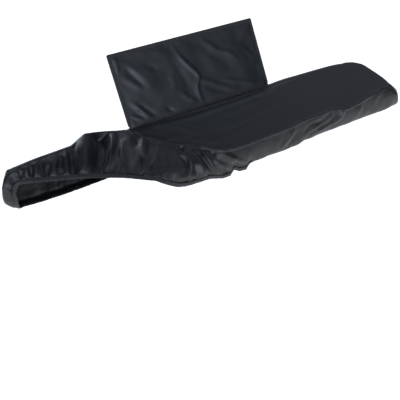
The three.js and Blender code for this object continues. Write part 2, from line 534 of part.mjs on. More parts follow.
// Binding: a channel folded over the sleeve's left, top and right edges.
function bindingGeometry() {
  const { width, thickness, clear } = BINDING;
  const inside = SLEEVE.halfAtEdge + SLEEVE.sheet / 2 + clear;
  const outside = inside + thickness;
  // [inwards from the edge, off the middle plane], round the channel
  const profile = [
    [width, inside],
    [width, outside],
    [-clear, outside],
    [-clear - thickness, inside * 0.55],
    [-clear - thickness, -inside * 0.55],
    [-clear, -outside],
    [width, -outside],
    [width, -inside],
    [-clear, -inside],
    [-clear, inside],
  ];
  // its path: up the left edge, along the top and down the right edge
  const foot = 6;
  const path = [];
  const push = (a, b, inA, inB) => path.push({ a, b, inA, inB });
  for (const k of across(3)) push(0, lerp(foot, SLEEVE.height - 12, k), 1, 0);
  push(0, SLEEVE.height, 1, -1);
  for (const k of across(7)) push(lerp(12, sleeveWidth - 12, k), SLEEVE.height, 0, -1);
  push(sleeveWidth, SLEEVE.height, -1, -1);
  for (const k of across(3)) push(sleeveWidth, lerp(SLEEVE.height - 12, foot, k), -1, 0);
  const position = [];
  for (const { a, b, inA, inB } of path)
    for (const [d, n] of profile) {
      const p = sleevePoint(SLEEVE.left + a + inA * d, b + inB * d, n);
      position.push(p.x - ORIGIN.x, p.y - ORIGIN.y, p.z - ORIGIN.z);
    }
  const N = profile.length;
  const index = [];
  for (let i = 0; i < path.length - 1; i++)
    for (let k = 0; k < N; k++) {
      const a = i * N + k;
      const b = i * N + ((k + 1) % N);
      index.push(a, b, b + N, a, b + N, a + N);
    }
  const contour = profile.map(([x, y]) => new THREE.Vector2(x, y));
  for (const t of THREE.ShapeUtils.triangulateShape(contour, [])) {
    const last = (path.length - 1) * N;
    const ccw = THREE.ShapeUtils.area(contour) > 0;
    index.push(t[0], ccw ? t[2] : t[1], ccw ? t[1] : t[2]);
    index.push(last + t[0], last + (ccw ? t[1] : t[2]), last + (ccw ? t[2] : t[1]));
  }
  const g = new THREE.BufferGeometry();
  g.setAttribute("position", new THREE.BufferAttribute(new Float32Array(position), 3));
  g.setIndex(index);
  g.computeVertexNormals();
  return g;
}

function volume(g) {
  const p = g.attributes.position;
  const [a, b, c] = [V(), V(), V()];
  let sum = 0;
  for (let i = 0; i < g.index.count; i += 3) {
    a.fromBufferAttribute(p, g.index.getX(i));
    b.fromBufferAttribute(p, g.index.getX(i + 1));
    c.fromBufferAttribute(p, g.index.getX(i + 2));
    sum += a.dot(b.cross(c)) / 6;
  }
  return sum;
}
// Faces out, whichever way round the grid was walked.
function outwards(g) {
  if (volume(g) < 0) {
    const i = g.index.array;
    for (let k = 0; k < i.length; k += 3) [i[k + 1], i[k + 2]] = [i[k + 2], i[k + 1]];
    g.computeVertexNormals();
  }
  return g;
}

const cover = new THREE.Group();
function piece(name, geometry, colour, roughness) {
  const mesh = new THREE.Mesh(
    outwards(geometry),
    new THREE.MeshStandardMaterial({ color: colour, roughness, metalness: 0 }),
  );
  mesh.name = name;
  cover.add(mesh);
}

const whole = skirtGrid();
const wholeNormals = normals(whole, true);
const skirtPart = (rows) => rows.map((r) => r.slice(0, SKIRT_DOWN + 1));
const bandPart = (rows) => rows.map((r) => r.slice(SKIRT_DOWN + 1));

piece("top_panel", sheet(topGrid(), CLOTH), COLOURS.top, 0.55);
piece("skirt", sheet(skirtPart(whole), CLOTH, true, skirtPart(wholeNormals)), COLOURS.skirt, 0.6);
piece("hem_elastic", sheet(bandPart(whole), BAND_THICKNESS, true, bandPart(wholeNormals)), COLOURS.band, 0.8);
piece("sleeve_front", sheet(sleeveGrid(1, SLEEVE_FRONT_STEPS), SLEEVE.sheet), COLOURS.sleeve, 0.5);
piece("sleeve_back", sheet(sleeveGrid(-1, SLEEVE_BACK_STEPS), SLEEVE.sheet), COLOURS.sleeve, 0.5);
piece("sleeve_binding", bindingGeometry(), COLOURS.binding, 0.7);

export default cover;
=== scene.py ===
"""A fitted cover of coated black cloth for an 88-key digital piano, draped as it hangs
with its bass-end front corner pushed back over the keys.

Every sheet is a fine grid over its middle surface, laid out from the same tables as the
part's solids. Folds are put in as soft ridges and troughs along curves on the
cloth, and the cloth is then let go: it keeps its lengths, with a little to spare where the
elastic gathers it, and buckles into its own small creases.

Tables and shapes are in millimetres in the instrument's own coordinates; to_row() moves
them to the frame the part is packed in, in metres.
"""

import math

import bmesh
import bpy
import numpy as np
from mathutils import Matrix, Vector


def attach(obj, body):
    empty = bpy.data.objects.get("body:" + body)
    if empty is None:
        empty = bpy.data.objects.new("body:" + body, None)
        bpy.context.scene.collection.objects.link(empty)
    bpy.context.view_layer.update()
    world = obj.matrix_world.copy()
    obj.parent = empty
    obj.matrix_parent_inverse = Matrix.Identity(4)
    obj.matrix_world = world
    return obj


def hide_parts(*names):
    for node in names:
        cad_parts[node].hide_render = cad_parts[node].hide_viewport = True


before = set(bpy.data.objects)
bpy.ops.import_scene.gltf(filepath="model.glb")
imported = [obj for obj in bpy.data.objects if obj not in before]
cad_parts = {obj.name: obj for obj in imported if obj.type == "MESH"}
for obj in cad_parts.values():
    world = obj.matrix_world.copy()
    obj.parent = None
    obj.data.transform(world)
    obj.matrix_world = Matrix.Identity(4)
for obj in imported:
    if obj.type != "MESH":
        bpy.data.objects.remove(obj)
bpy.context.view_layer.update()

ORIGIN = np.array([680.0, 214.0, 117.0])


def to_row(p):
    return (np.asarray(p, float) - ORIGIN) / 1000.0


def Rotation_from(vector):
    """The rotation matrix of a rotation vector."""
    v = np.array(vector)
    a = np.linalg.norm(v)
    k = v / a
    K = np.array([[0, -k[2], k[1]], [k[2], 0, -k[0]], [-k[1], k[0], 0]])
    return np.eye(3) + math.sin(a) * K + (1 - math.cos(a)) * K @ K


# How far the cloth is let go, and the studio's lights.
GATHER = 1.0
SLACK_LOW = 0.05
SLACK_ALL = 0.012
TOP_SLACK = 0.004
SLEEVE_SLACK = 0.0015
ROUNDS = 160
# The room: soft glows, each (direction, brightness, how fast it falls off).
ROOM = [
    ((0.0, 0.99, 0.139), 2.4, 14),
    ((0.0, -0.99, 0.139), 0.8, 22),
    ((-0.47, -0.87, 0.17), 4.1, 11),
    ((0.848, 0.0, 0.53), 0.2, 22),
    ((0.262, -0.807, 0.53), 1.1, 18),
    ((-0.06, 0.559, 0.829), 1.5, 20),
    ((0.559, 0.0, 0.829), 0.95, 22),
    ((0.50, 0.42, 0.76), 0.08, 30),
]
AMBIENT = 0.02
TINT = (0.87, 0.965, 1.11)
FLOOR_GLOW = 0.78
LIGHTS = [
    ("key", (3.4, 2.6, 2.4), (0, 0, 0), (2.4, 2.4), 3, (1, 0.99, 0.97)),
]


def rows(names, values):
    """A table as one array per named column."""
    names = names.split()
    return {n: np.array([v[k] for v in values], float) for k, n in enumerate(names)}


TOP = rows("x fy fz sag ly lz cy cz by bz", [
    (6, 243, 104, 0, 252, 102, 263, 80, 263, 45),
    (50, 243, 109, 0, 254, 107, 266, 83, 264, 42),
    (102, 244, 113, 0, 254, 111, 267, 88, 264, 44),
    (150, 243, 115, 0, 255, 112, 267, 84, 265, 41),
    (200, 244, 116, 0, 255, 114, 268, 86, 264, 44),
    (237, 244, 135, 0, 255, 131, 269, 92, 265, 43),
    (254, 244, 143, 0, 256, 138, 270, 95, 265, 42),
    (277, 244, 139, 0, 256, 135, 270, 93, 264, 43),
    (320, 244, 130, 0, 255, 127, 268, 92, 264, 48),
    (348, 243, 123, 0, 253, 120, 265, 97, 263, 60),
    (368, 240, 117, 0, 249, 117, 259, 106, 261, 84),
    (388, 226, 116, 0, 234, 117, 241, 117, 249, 108),
    (400, 198, 115, 1, 213, 116, 228, 117, 234, 117),
    (414, 163, 115, 2, 208, 118, 225, 118, 232, 118),
    (440, 127, 110, 3, 204, 118, 225, 118, 232, 118),
    (476, 88, 101, 3, 200, 118, 225, 118, 232, 118),
    (527, 60, 92, 3, 197, 118, 225, 118, 232, 118),
    (563, 26, 86, 3, 195, 118, 225, 118, 232, 118),
    (600, -6, 79, 3, 194, 118, 225, 118, 232, 118),
    (660, -8, 72, 2, 193, 118, 225, 118, 232, 118),
    (740, -8, 73, 1, 192, 118, 225, 118, 232, 118),
    (860, -8, 75, 1, 191, 118, 225, 118, 232, 118),
    (950, -8, 83, 2, 190, 116, 226, 118, 233, 117),
    (1045, -9, 83, 3, 190, 116, 232, 120, 245, 113),
    (1118, -14, 71, 1, 189, 115, 232, 119, 246, 110),
    (1210, -10, 82, 2, 188, 112, 232, 116, 246, 107),
    (1300, -7, 92, 2, 186, 110, 230, 113, 243, 105),
    (1350, -4, 93, 1, 184, 108, 226, 109, 240, 101),
])
ENDS = rows("w left right", [
    (0, 6, 1306),
    (0.08, 2, 1334),
    (0.22, -2, 1349),
    (0.5, -7, 1361),
    (0.72, -10, 1366),
    (0.86, -8, 1352),
    (1, -4, 1298),
])
FRONT = rows("at ex ey ez hx hy hz dip puff", [
    (1350, 1366, -13, 21, 1336, 33, -3, 7, 19),
    (1300, 1312, -12, 14, 1304, 30, -5, 7, 9),
    (1210, 1212, -9, 13, 1211, 30, -5, 7, 4),
    (1122, 1116, -9, 12, 1120, 32, -4, 7, 5),
    (1045, 1036, -9, 13, 1043, 31, -5, 7, 2),
    (950, 946, -9, 10, 949, 33, -6, 7, 4),
    (860, 858, -9, 0, 860, 31, -8, 7, 4),
    (770, 769, -9, 3, 770, 28, -8, 7, 5),
    (728, 727, -9, 3, 727, 16, -9, 4, 5),
    (700, 699, -10, 10, 698, -4, -7, 1, 6),
    (681, 680, -12, 8, 680, -9, -18, 0, 7),
    (660, 658, -11, 6, 658, -8, -16, 0, 7),
    (640, 637, -9, 14, 637, -6, -6, 0, 6),
    (622, 618, -12, 8, 619, -9, -19, 0, 7),
    (600, 596, -12, 8, 598, -9, -19, 0, 8),
    (583, 573, -12, 14, 573, -9, -12, 0, 9),
    (563, 545, -11, 24, 541, -8, -3, 0, 10),
    (527, 490, -10, 30, 480, -7, 0, 0, 12),
    (490, 446, -6, 42, 433, -8, 9, 0, 12),
    (476, 421, 2, 56, 404, -9, 25, 0, 12),
    (455, 396, 14, 72, 374, -10, 46, 0, 10),
    (436, 372, 28, 81, 350, -6, 62, 0, 10),
    (414, 348, 50, 85, 325, 9, 67, 0, 9),
    (400, 332, 72, 87, 308, 26, 68, 0, 9),
    (388, 318, 92, 88, 292, 43, 68, 0, 9),
    (368, 302, 106, 89, 275, 59, 68, 0, 8),
    (348, 286, 116, 90, 262, 69, 68, 0, 8),
    (320, 262, 130, 90, 240, 86, 68, 0, 6),
    (300, 246, 138, 88, 224, 98, 68, 0, 2),
    (277, 229, 146, 90, 208, 110, 68, 0, 3),
    (254, 208, 156, 93, 190, 122, 68, 0, 7),
    (237, 194, 162, 92, 176, 131, 68, 0, 7),
    (200, 165, 174, 86, 149, 146, 68, 0, 7),
    (167, 135, 182, 86, 122, 159, 68, 0, 7),
    (102, 80, 202, 86, 69, 184, 68, 0, 7),
    (45, 33, 218, 86, 32, 203, 67, 0, 7),
])
LEFT = rows("at ex ey ez hx hy hz dip puff", [
    (0.06, -14, 226, 88, 8, 209, 62, 0, 1),
    (0.38, -35, 217, 60, -3, 201, 40, 1, 3),
    (0.66, -38, 221, 26, -3, 199, 14, 3, 7),
    (0.9, -26, 240, -3, 0, 206, -8, 6, 7),
])
BACK = rows("at ex ey ez hx hy hz dip puff", [
    (6, -4, 258, -14, 20, 214, -13, 7, 4),
    (50, 50, 263, -20, 54, 212, -15, 7, 4),
    (150, 150, 264, -24, 151, 209, -16, 7, 5),
    (254, 254, 263, -22, 254, 210, -15, 7, 4),
    (348, 347, 261, -14, 348, 211, -13, 7, 4),
    (388, 386, 257, -6, 387, 212, -11, 7, 4),
    (440, 440, 254, 0, 440, 213, -9, 7, 3),
    (600, 600, 255, 1, 600, 214, -8, 7, 4),
    (740, 741, 254, -1, 740, 213, -8, 7, 3),
    (860, 860, 256, 1, 860, 214, -8, 7, 5),
    (1045, 1045, 254, 2, 1045, 213, -7, 7, 4),
    (1210, 1211, 253, 4, 1209, 212, -6, 7, 4),
    (1350, 1308, 252, 6, 1284, 211, -6, 7, 4),
])
RIGHT = rows("at ex ey ez hx hy hz dip puff", [
    (0.9, 1350, 231, 9, 1314, 200, -6, 7, 4),
    (0.75, 1371, 190, 13, 1329, 176, -5, 7, 5),
    (0.5, 1375, 122, 17, 1334, 122, -4, 7, 7),
    (0.25, 1376, 52, 19, 1335, 66, -3, 7, 12),
    (0.08, 1375, 6, 22, 1337, 42, -2, 7, 17),
])

# Folds as soft ridges (+) and troughs (-): height, half width, their share at the
# curve's two ends, and the curve itself. On the skirt's front a point is (place along
# the seam, share of the way down); on the top (place along the keyboard, share of the
# way back); on the sleeve (millimetres from its left edge, millimetres up).
SKIRT_FOLDS = [
    (-29, 21, 1, 0.3, [(302, 0.07), (307, 0.32), (300, 0.58), (286, 0.80), (278, 0.92)]),  # big trough
    (11, 20, 0.6, 0.6, [(249, 0.12), (246, 0.38), (246, 0.72), (243, 0.92)]),  # ridge left of it
    (-12, 11, 0.3, 0.8, [(213, 0.08), (204, 0.33), (207, 0.67), (207, 0.88)]),  # trough 2
    (7, 8, 0.2, 0.8, [(183, 0.12), (183, 0.33), (186, 0.60), (192, 0.87)]),  # thin ridge
    (-11, 10, 0.2, 0.6, [(168, 0.20), (168, 0.42), (159, 0.77)]),  # trough 3
    (5, 13, 0.3, 0.8, [(144, 0.25), (147, 0.57), (150, 0.82)]),  # swell
    (-4, 6, 0.2, 0.8, [(132, 0.45), (126, 0.80)]),  # small trough
    (-7, 8, 0.2, 0.8, [(99, 0.17), (105, 0.48), (111, 0.78)]),  # trough 4
    (5, 10, 0.3, 0.8, [(87, 0.08), (87, 0.37), (90, 0.73)]),  # ridge 4
    (-6, 7, 0.2, 0.8, [(69, 0.23), (72, 0.72)]),  # trough 5
    (4, 8, 0.3, 0.8, [(51, 0.20), (57, 0.68)]),  # ridge 5
    (-5, 7, 0.3, 0.8, [(36, 0.23), (36, 0.73)]),  # trough 6
    (17, 9, 0.55, 0.3, [(337, 0.12), (337, 0.37), (323, 0.68)]),  # ridge right of big
    (6, 9, 0.2, 0.2, [(372, 0.30), (369, 0.57), (381, 0.73), (393, 0.83)]),  # ridge arc
    (-4, 12, 0.5, 0.3, [(357, 0.13), (354, 0.45), (345, 0.70)]),  # trough between
    (-10, 11, 1, 0.1, [(402, 0.03), (402, 0.20), (402, 0.33)]),  # seam dent
    (-10, 8, 0.7, 0.1, [(426, 0.07), (423, 0.28), (420, 0.52)]),  # trough m4
    (-11, 6, 0.1, 0.5, [(408, 0.57), (408, 0.73), (405, 0.92)]),  # narrow m5
    (7, 12, 0.6, 0.5, [(414, 0.02), (414, 0.30), (414, 0.58), (411, 0.87)]),  # ridge m6
    (7, 8, 0.2, 0.2, [(441, 0.43), (435, 0.63), (423, 0.75)]),  # crescent m7
    (5, 14, 0.6, 0.3, [(444, 0.03), (444, 0.30), (441, 0.43)]),  # ridge m8
    (8, 8, 0.6, 0.2, [(438, 0.03), (456, 0.08), (477, 0.10), (492, 0.23), (513, 0.40)]),  # seam ridge m9
    (-13, 9, 1, 0.2, [(495, 0.00), (495, 0.10), (495, 0.20)]),  # pocket m10
    (-9, 5.5, 0.2, 0.3, [(480, 0.35), (495, 0.37), (504, 0.48), (507, 0.63)]),  # crescent a dark
    (6, 7, 0.2, 0.3, [(486, 0.28), (504, 0.33), (513, 0.45), (513, 0.65)]),  # crescent a light
    (3.5, 5, 0.2, 0.3, [(447, 0.80), (450, 0.68), (462, 0.60)]),  # radiating 1
    (4.5, 8, 0.2, 0.3, [(471, 0.80), (483, 0.65), (498, 0.50)]),  # radiating 2
    (3, 5, 0.2, 0.3, [(459, 0.83), (462, 0.75), (471, 0.58)]),  # radiating 3
    (-10, 5.5, 0.2, 0.3, [(519, 0.18), (537, 0.20), (549, 0.33), (558, 0.53), (570, 0.78)]),  # crescent b dark
    (8, 7, 0.2, 0.4, [(525, 0.15), (543, 0.17), (555, 0.32), (567, 0.58), (585, 0.88)]),  # crescent b light
    (4.5, 10, 0.2, 0.4, [(528, 0.38), (540, 0.55), (552, 0.80)]),  # swell left of b
    (-4.5, 4.5, 0.3, 0.3, [(543, 0.00), (552, 0.08), (561, 0.08)]),  # short dark 1
    (-4.5, 4.5, 0.3, 0.3, [(567, 0.12), (579, 0.17)]),  # short dark 2
    (6, 8, 0.3, 0.3, [(582, 0.07), (615, 0.25), (651, 0.52), (681, 0.70)]),  # upper ridge m16
    (-4.5, 6, 0.3, 0.3, [(576, 0.27), (609, 0.45), (642, 0.83)]),  # trough m17
    (4.5, 7, 0.3, 0.4, [(567, 0.32), (594, 0.50), (627, 0.83)]),  # ridge m18
    (-4, 6, 0.3, 0.4, [(591, 0.58), (606, 0.82)]),  # trough m19
    (3, 5, 0.3, 0.3, [(516, 0.08), (531, 0.08), (546, 0.12)]),  # wrinkle m20
    (-3, 6, 0.3, 0.3, [(501, 0.30), (522, 0.37), (534, 0.48)]),  # wrinkle m21
    (-4, 6, 0.3, 0.6, [(528, 0.58), (528, 0.77)]),  # low trough m22
    (5, 8, 0.9, 0.3, [(1059, 0.07), (1020, 0.20), (987, 0.28), (930, 0.40)]),  # fan ridge 1
    (-5, 7, 0.7, 0.3, [(1044, 0.08), (1002, 0.22), (957, 0.22), (918, 0.33)]),  # fan trough 1
    (6, 9, 0.9, 0.4, [(1092, 0.08), (1074, 0.30), (1026, 0.40), (963, 0.48)]),  # fan ridge 2
    (-6, 7, 0.8, 0.4, [(1077, 0.15), (1041, 0.35), (999, 0.40), (954, 0.43)]),  # fan trough 2
    (3, 10, 0.5, 0.3, [(1014, 0.02), (978, 0.08), (921, 0.12)]),  # fan swell
    (4.5, 8, 0.3, 0.6, [(876, 0.13), (849, 0.32), (828, 0.48)]),  # diagonal right
    (-3.5, 9, 0.3, 0.6, [(903, 0.20), (876, 0.37), (855, 0.50)]),  # diagonal trough
    (4, 12, 0.8, 0.3, [(1293, 0.03), (1254, 0.12), (1239, 0.33)]),  # corner ridge
    (3, 16, 0.5, 0.5, [(1167, 0.03), (1167, 0.33), (1152, 0.48)]),  # right swell
    (3, 22, 0.5, 0.5, [(747, 0.00), (735, 0.18), (726, 0.40)]),  # left swell
]
SLEEVE_FOLDS = [
    (4.6, 7.5, 0.3, 0.4, [(232, 211), (237, 194), (246, 169), (262, 143), (279, 120), (289, 104), (289, 92), (281, 79), (274, 62), (274, 38), (280, 15)]),  # long S
    (-1.6, 13, 0.2, 0.2, [(208, 174), (232, 124), (241, 83), (240, 48)]),  # s left trough
    (3, 9, 0.2, 0.2, [(337, 214), (365, 188), (386, 167), (434, 140), (460, 113)]),  # tr ridge
    (-1.8, 12, 0.3, 0.3, [(334, 191), (359, 158), (406, 126)]),  # tr trough
    (1.6, 9, 0.3, 0.3, [(478, 154), (510, 130), (525, 102)]),  # tr2 ridge
    (3, 9, 0.6, 0.2, [(297, 83), (345, 57), (414, 21)]),  # lr ridge 1
    (2.5, 8, 0.3, 0.3, [(341, 74), (436, 42), (528, 5)]),  # lr ridge 2
    (-2, 9, 0.3, 0.3, [(299, 61), (338, 39), (401, 12)]),  # lr trough
    (-3.2, 10, 0.2, 0.3, [(37, 199), (64, 157), (88, 111)]),  # left trough 1
    (2.6, 10, 0.3, 0.3, [(18, 172), (52, 134), (89, 101)]),  # left ridge 1
    (2.0, 12, 0.3, 0.3, [(53, 197), (83, 152), (108, 115)]),  # left ridge 1b
    (-4.5, 8, 0.4, 0.3, [(13, 63), (30, 45), (54, 25)]),  # bl trough
    (4, 8, 0.5, 0.3, [(10, 41), (35, 24), (55, 9)]),  # bl ridge
    (3.5, 9, 0.3, 0.3, [(29, 79), (51, 47), (76, 20)]),  # bl ridge 2
    (-4, 8, 0.3, 0.4, [(55, 63), (78, 37), (102, 15)]),  # bl trough 2
    (-3.5, 8, 0.3, 0.5, [(142, 31), (167, 6)]),  # b trough 3
    (-2.2, 12, 0.3, 0.3, [(105, 186), (131, 170), (157, 150)]),  # edge dark 1
    (-2.2, 12, 0.3, 0.3, [(172, 139), (193, 95)]),  # edge dark 2
    (2.5, 12, 0.3, 0.3, [(163, 136), (190, 113), (195, 77)]),  # mid ridge
    (2.5, 9, 0.3, 0.3, [(208, 62), (235, 35), (265, 15)]),  # low ridge
    (3, 7, 0.6, 0.2, [(14, 231), (17, 195), (14, 166)]),  # corner pull
    (3, 30, 0.3, 0.3, [(96, 202), (108, 127), (123, 46)]),  # left wide
    (1.8, 22, 0.3, 0.3, [(139, 217), (192, 197), (213, 154)]),  # upper swell
]
TOP_FOLDS = [
    (-2.6, 4.5, 0.2, 0.2, [(470, 0.87), (560, 0.87), (690, 0.87), (837, 0.865), (950, 0.88), (1060, 0.88)]),  # crease along the back ledge
    (4.6, 6.5, 0.3, 0.2, [(440, 0.97), (462, 0.95), (582, 0.95), (714, 0.93), (855, 0.93), (981, 0.93)]),
    (5.4, 7.5, 0.3, 0.1, [(483, 0.77), (564, 0.78), (651, 0.80), (792, 0.81), (888, 0.82), (1023, 0.83), (1122, 0.83)]),
    (-1.2, 14, 0.3, 0.3, [(860, 0.30), (1000, 0.24), (1143, 0.18), (1250, 0.10)]),
    (1.0, 16, 0.3, 0.3, [(700, 0.45), (900, 0.5), (1100, 0.42), (1250, 0.40)]),
    (-1.0, 12, 0.3, 0.3, [(620, 0.3), (760, 0.36), (900, 0.40)]),
    (-1.5, 7, 0.4, 0.4, [(1326, 0.75), (1322, 0.45), (1323, 0.10)]),
    (1.2, 9, 0.4, 0.4, [(1342, 0.70), (1342, 0.40), (1340, 0.15)]),
    (2.0, 9, 0.5, 0.3, [(440, 0.02), (470, 0.2), (520, 0.35)]),
    (-1.6, 8, 0.5, 0.3, [(500, 0.02), (530, 0.22), (575, 0.38)]),
    (1.4, 10, 0.5, 0.3, [(545, 0.03), (590, 0.2), (640, 0.3)]),
]
# side, height, half width, lean along the seam, from and to as shares of the way down, place
OTHER_FOLDS = [
    ("left", 3.5, 14, 0.05, 0.15, 0.9, 0.2),
    ("left", -4.0, 9, 0.05, 0.2, 0.95, 0.34),
    ("left", 3.0, 12, 0.02, 0.1, 0.9, 0.5),
    ("left", -3.5, 8, -0.04, 0.25, 0.95, 0.66),
    ("left", 3.0, 11, -0.05, 0.2, 0.9, 0.82),
    ("back", 5, 16, 30, 0.1, 0.9, 60),
    ("back", -5, 11, 10, 0.15, 0.9, 110),
    ("back", 4, 18, -20, 0.1, 0.9, 170),
    ("back", -4, 12, -35, 0.05, 0.8, 235),
    ("back", 5, 16, 25, 0.05, 0.9, 290),
    ("back", -6, 12, 40, 0.0, 0.85, 360),
    ("back", 4, 14, 20, 0.1, 0.8, 430),
    ("back", -3, 16, 10, 0.2, 0.9, 520),
    ("back", 3, 22, -25, 0.1, 0.9, 600),
    ("back", -3, 14, 30, 0.2, 0.9, 700),
    ("back", 3.5, 20, 20, 0.15, 0.9, 790),
    ("back", -3.5, 13, -30, 0.15, 0.9, 880),
    ("back", 4, 16, -45, 0.05, 0.85, 985),
    ("back", -4, 10, -50, 0.05, 0.8, 1040),
    ("back", 3, 20, 20, 0.2, 0.9, 1130),
    ("back", -3, 14, 30, 0.2, 0.9, 1210),
    ("back", 4, 14, 25, 0.05, 0.9, 1290),
    ("right", 4, 13, 0.06, 0.0, 0.9, 0.08),
    ("right", -4, 9, 0.05, 0.05, 0.9, 0.2),
    ("right", 3, 16, 0.02, 0.15, 0.9, 0.36),
    ("right", -3, 11, -0.03, 0.2, 0.9, 0.52),
    ("right", 3.5, 14, -0.05, 0.1, 0.9, 0.68),
    ("right", -4, 9, -0.06, 0.05, 0.9, 0.84),
    ("right", 4, 12, -0.03, 0.0, 0.9, 0.93),
]
SLEEVE_BACK_FOLDS = [
    (3.0, 11, 0.3, 0.3, [(120, 214), (150, 150), (205, 95), (260, 20)]),
    (-2.4, 12, 0.3, 0.3, [(60, 190), (100, 130), (120, 60)]),
    (2.6, 10, 0.3, 0.3, [(330, 205), (390, 160), (470, 90), (520, 40)]),
    (-2.0, 12, 0.3, 0.3, [(300, 150), (360, 90), (400, 30)]),
    (2.2, 12, 0.3, 0.3, [(470, 210), (500, 160), (530, 110)]),
]


def lerp(a, b, t):
    return a + (b - a) * t


def smooth(a, b, t):
    s = np.clip((np.asarray(t, float) - a) / (b - a), 0, 1)
    return s * s * (3 - 2 * s)


def unit(v):
    return v / np.maximum(np.linalg.norm(v, axis=-1, keepdims=True), 1e-9)


def column(table, key, name):
    """A curve through the table's rows that doesn't overshoot them."""
    order = np.argsort(table[key])
    x, y = table[key][order], table[name][order]
    h = np.diff(x)
    d = np.diff(y) / h
    m = np.zeros(len(x))
    m[0], m[-1] = d[0], d[-1]
    for i in range(1, len(x) - 1):
        if d[i - 1] * d[i] > 0:
            a, b = 2 * h[i] + h[i - 1], h[i] + 2 * h[i - 1]
            m[i] = (a + b) / (a / d[i - 1] + b / d[i])

    def curve(t):
        t = np.clip(np.asarray(t, float), x[0], x[-1])
        i = np.clip(np.searchsorted(x, t, side="right") - 1, 0, len(x) - 2)
        s = (t - x[i]) / h[i]
        s2, s3 = s * s, s * s * s
        return (
            (2 * s3 - 3 * s2 + 1) * y[i]
            + (s3 - 2 * s2 + s) * h[i] * m[i]
            + (3 * s2 - 2 * s3) * y[i + 1]
            + (s3 - s2) * h[i] * m[i + 1]
        )

    return curve


def columns(table, key):
    return {n: column(table, key, n) for n in table if n != key}


def along(points, t):
    """The points a share t (I, J) of the way along smooth curves through points (I, K, 3)."""
    step = np.maximum(np.linalg.norm(np.diff(points, axis=1), axis=2), 1e-3)
    at = np.concatenate([np.zeros((len(points), 1)), np.cumsum(step, axis=1)], axis=1)
    k = points.shape[1]
    slope = np.empty_like(points)
    for j in range(k):
        a, b = max(j - 1, 0), min(j + 1, k - 1)
        slope[:, j] = (points[:, b] - points[:, a]) / (at[:, b] - at[:, a])[:, None]
    s = np.clip(t, 0, 1) * at[:, -1:]
    i = np.clip((s[:, :, None] > at[:, None, 1:-1]).sum(axis=2), 0, k - 2)
    r = np.arange(len(points))[:, None]
    h = (at[r, i + 1] - at[r, i])[..., None]
    u = (s - at[r, i])[..., None] / h
    u2, u3 = u * u, u * u * u
    return (
        points[r, i] * (2 * u3 - 3 * u2 + 1)
        + slope[r, i] * (u3 - 2 * u2 + u) * h
        + points[r, i + 1] * (3 * u2 - 2 * u3)
        + slope[r, i + 1] * (u3 - u2) * h
    )


def normals(grid, loop=False):
    if loop:
        u = np.roll(grid, -1, axis=0) - np.roll(grid, 1, axis=0)
    else:
        u = np.gradient(grid, axis=0)
    return unit(np.cross(u, np.gradient(grid, axis=1)))


top = columns(TOP, "x")
ends = columns(ENDS, "w")
END_REACH = 170


def top_at(x, w):
    """Middle surface of the top panel for x (I,) and w (I, J), from front to back."""
    o = np.zeros_like(x)
    front = np.stack([o, top["fy"](x), top["fz"](x)], 1)
    ledge = np.stack([o, top["ly"](x), top["lz"](x)], 1)
    half = (front + ledge) / 2
    half[:, 2] -= top["sag"](x)
    crest = np.stack([o, top["cy"](x), top["cz"](x)], 1)
    back = np.stack([o, top["by"](x), top["bz"](x)], 1)
    p = along(np.stack([front, half, ledge, crest, back], 1), w)
    first, last = TOP["x"][0], TOP["x"][-1]
    from_left = np.clip((first + END_REACH - x) / END_REACH, 0, 1)[:, None] ** 2
    from_right = np.clip((x - last + END_REACH) / END_REACH, 0, 1)[:, None] ** 2
    p[..., 0] = (
        x[:, None]
        + (ends["left"](w) - first) * from_left
        + (ends["right"](w) - last) * from_right
    )
    return p


def mouth(x):
    return smooth(393, 402.5, x) - smooth(960.5, 970, x)


def side_columns():
    """The skirt's four sides, each end closed by the corner rows beside it."""
    f, b = FRONT, BACK
    fi, bi = np.argmin(f["at"]), np.argmin(b["at"])
    fj, bj = np.argmax(f["at"]), np.argmax(b["at"])
    left_corner = {**{n: f[n][fi] for n in f}, "at": 6, "hx": 16, "hy": 210, "ex": 2, "ey": 228, "ez": 90}

    def add(table, *extra):
        return {n: np.concatenate([table[n], [e[n] for e in extra]]) for n in table}

    pick = lambda t, i, at: {**{n: t[n][i] for n in t}, "at": at}
    return {
        "front": columns(add(f, left_corner), "at"),
        "back": columns(b, "at"),
        "left": columns(add(LEFT, {**left_corner, "at": 0}, pick(b, bi, 1)), "at"),
        "right": columns(add(RIGHT, pick(f, fj, 0), pick(b, bj, 1)), "at"),
    }


def skirt_ring(front_x, left_w, back_x, right_w):
    """The seam's stations all the way round: side, x, w and at for each."""
    side, x, w, at = [], [], [], []
    first, last = TOP["x"][0], TOP["x"][-1]
    for v in front_x[::-1]:
        side.append("front"), x.append(v), w.append(0.0), at.append(v)
    for v in left_w:
        side.append("left"), x.append(first), w.append(v), at.append(v)
    for v in back_x:
        side.append("back"), x.append(v), w.append(1.0), at.append(v)
    for v in right_w[::-1]:
        side.append("right"), x.append(last), w.append(v), at.append(v)
    return np.array(side), np.array(x), np.array(w), np.array(at)


def skirt_keys(ring):
    """Each section's five key points, from seam to free edge, and its outward side."""
    side, x, w, at = ring
    t = top_at(x, w[:, None])[:, 0]
    back = side == "back"
    t[back, 1] += 11.6 * mouth(x[back])
    t[back, 2] -= 3 * mouth(x[back])
    tangent = np.roll(t, -1, axis=0) - np.roll(t, 1, axis=0)
    cols = side_columns()
    v = {n: np.zeros(len(x)) for n in ("ex", "ey", "ez", "hx", "hy", "hz", "dip", "puff")}
    for s in cols:
        m = side == s
        for n in v:
            v[n][m] = cols[s][n](at[m])
    e = np.stack([v["ex"], v["ey"], v["ez"]], 1)
    h = np.stack([v["hx"], v["hy"], v["hz"]], 1)
    outward = unit(np.cross(tangent, e - t))
    upper = (t + e) / 2 + outward * v["puff"][:, None]
    lower = lerp(e, h, 0.4)
    lower[:, 2] -= v["dip"]
    return np.stack([t, upper, e, lower, h], 1), outward


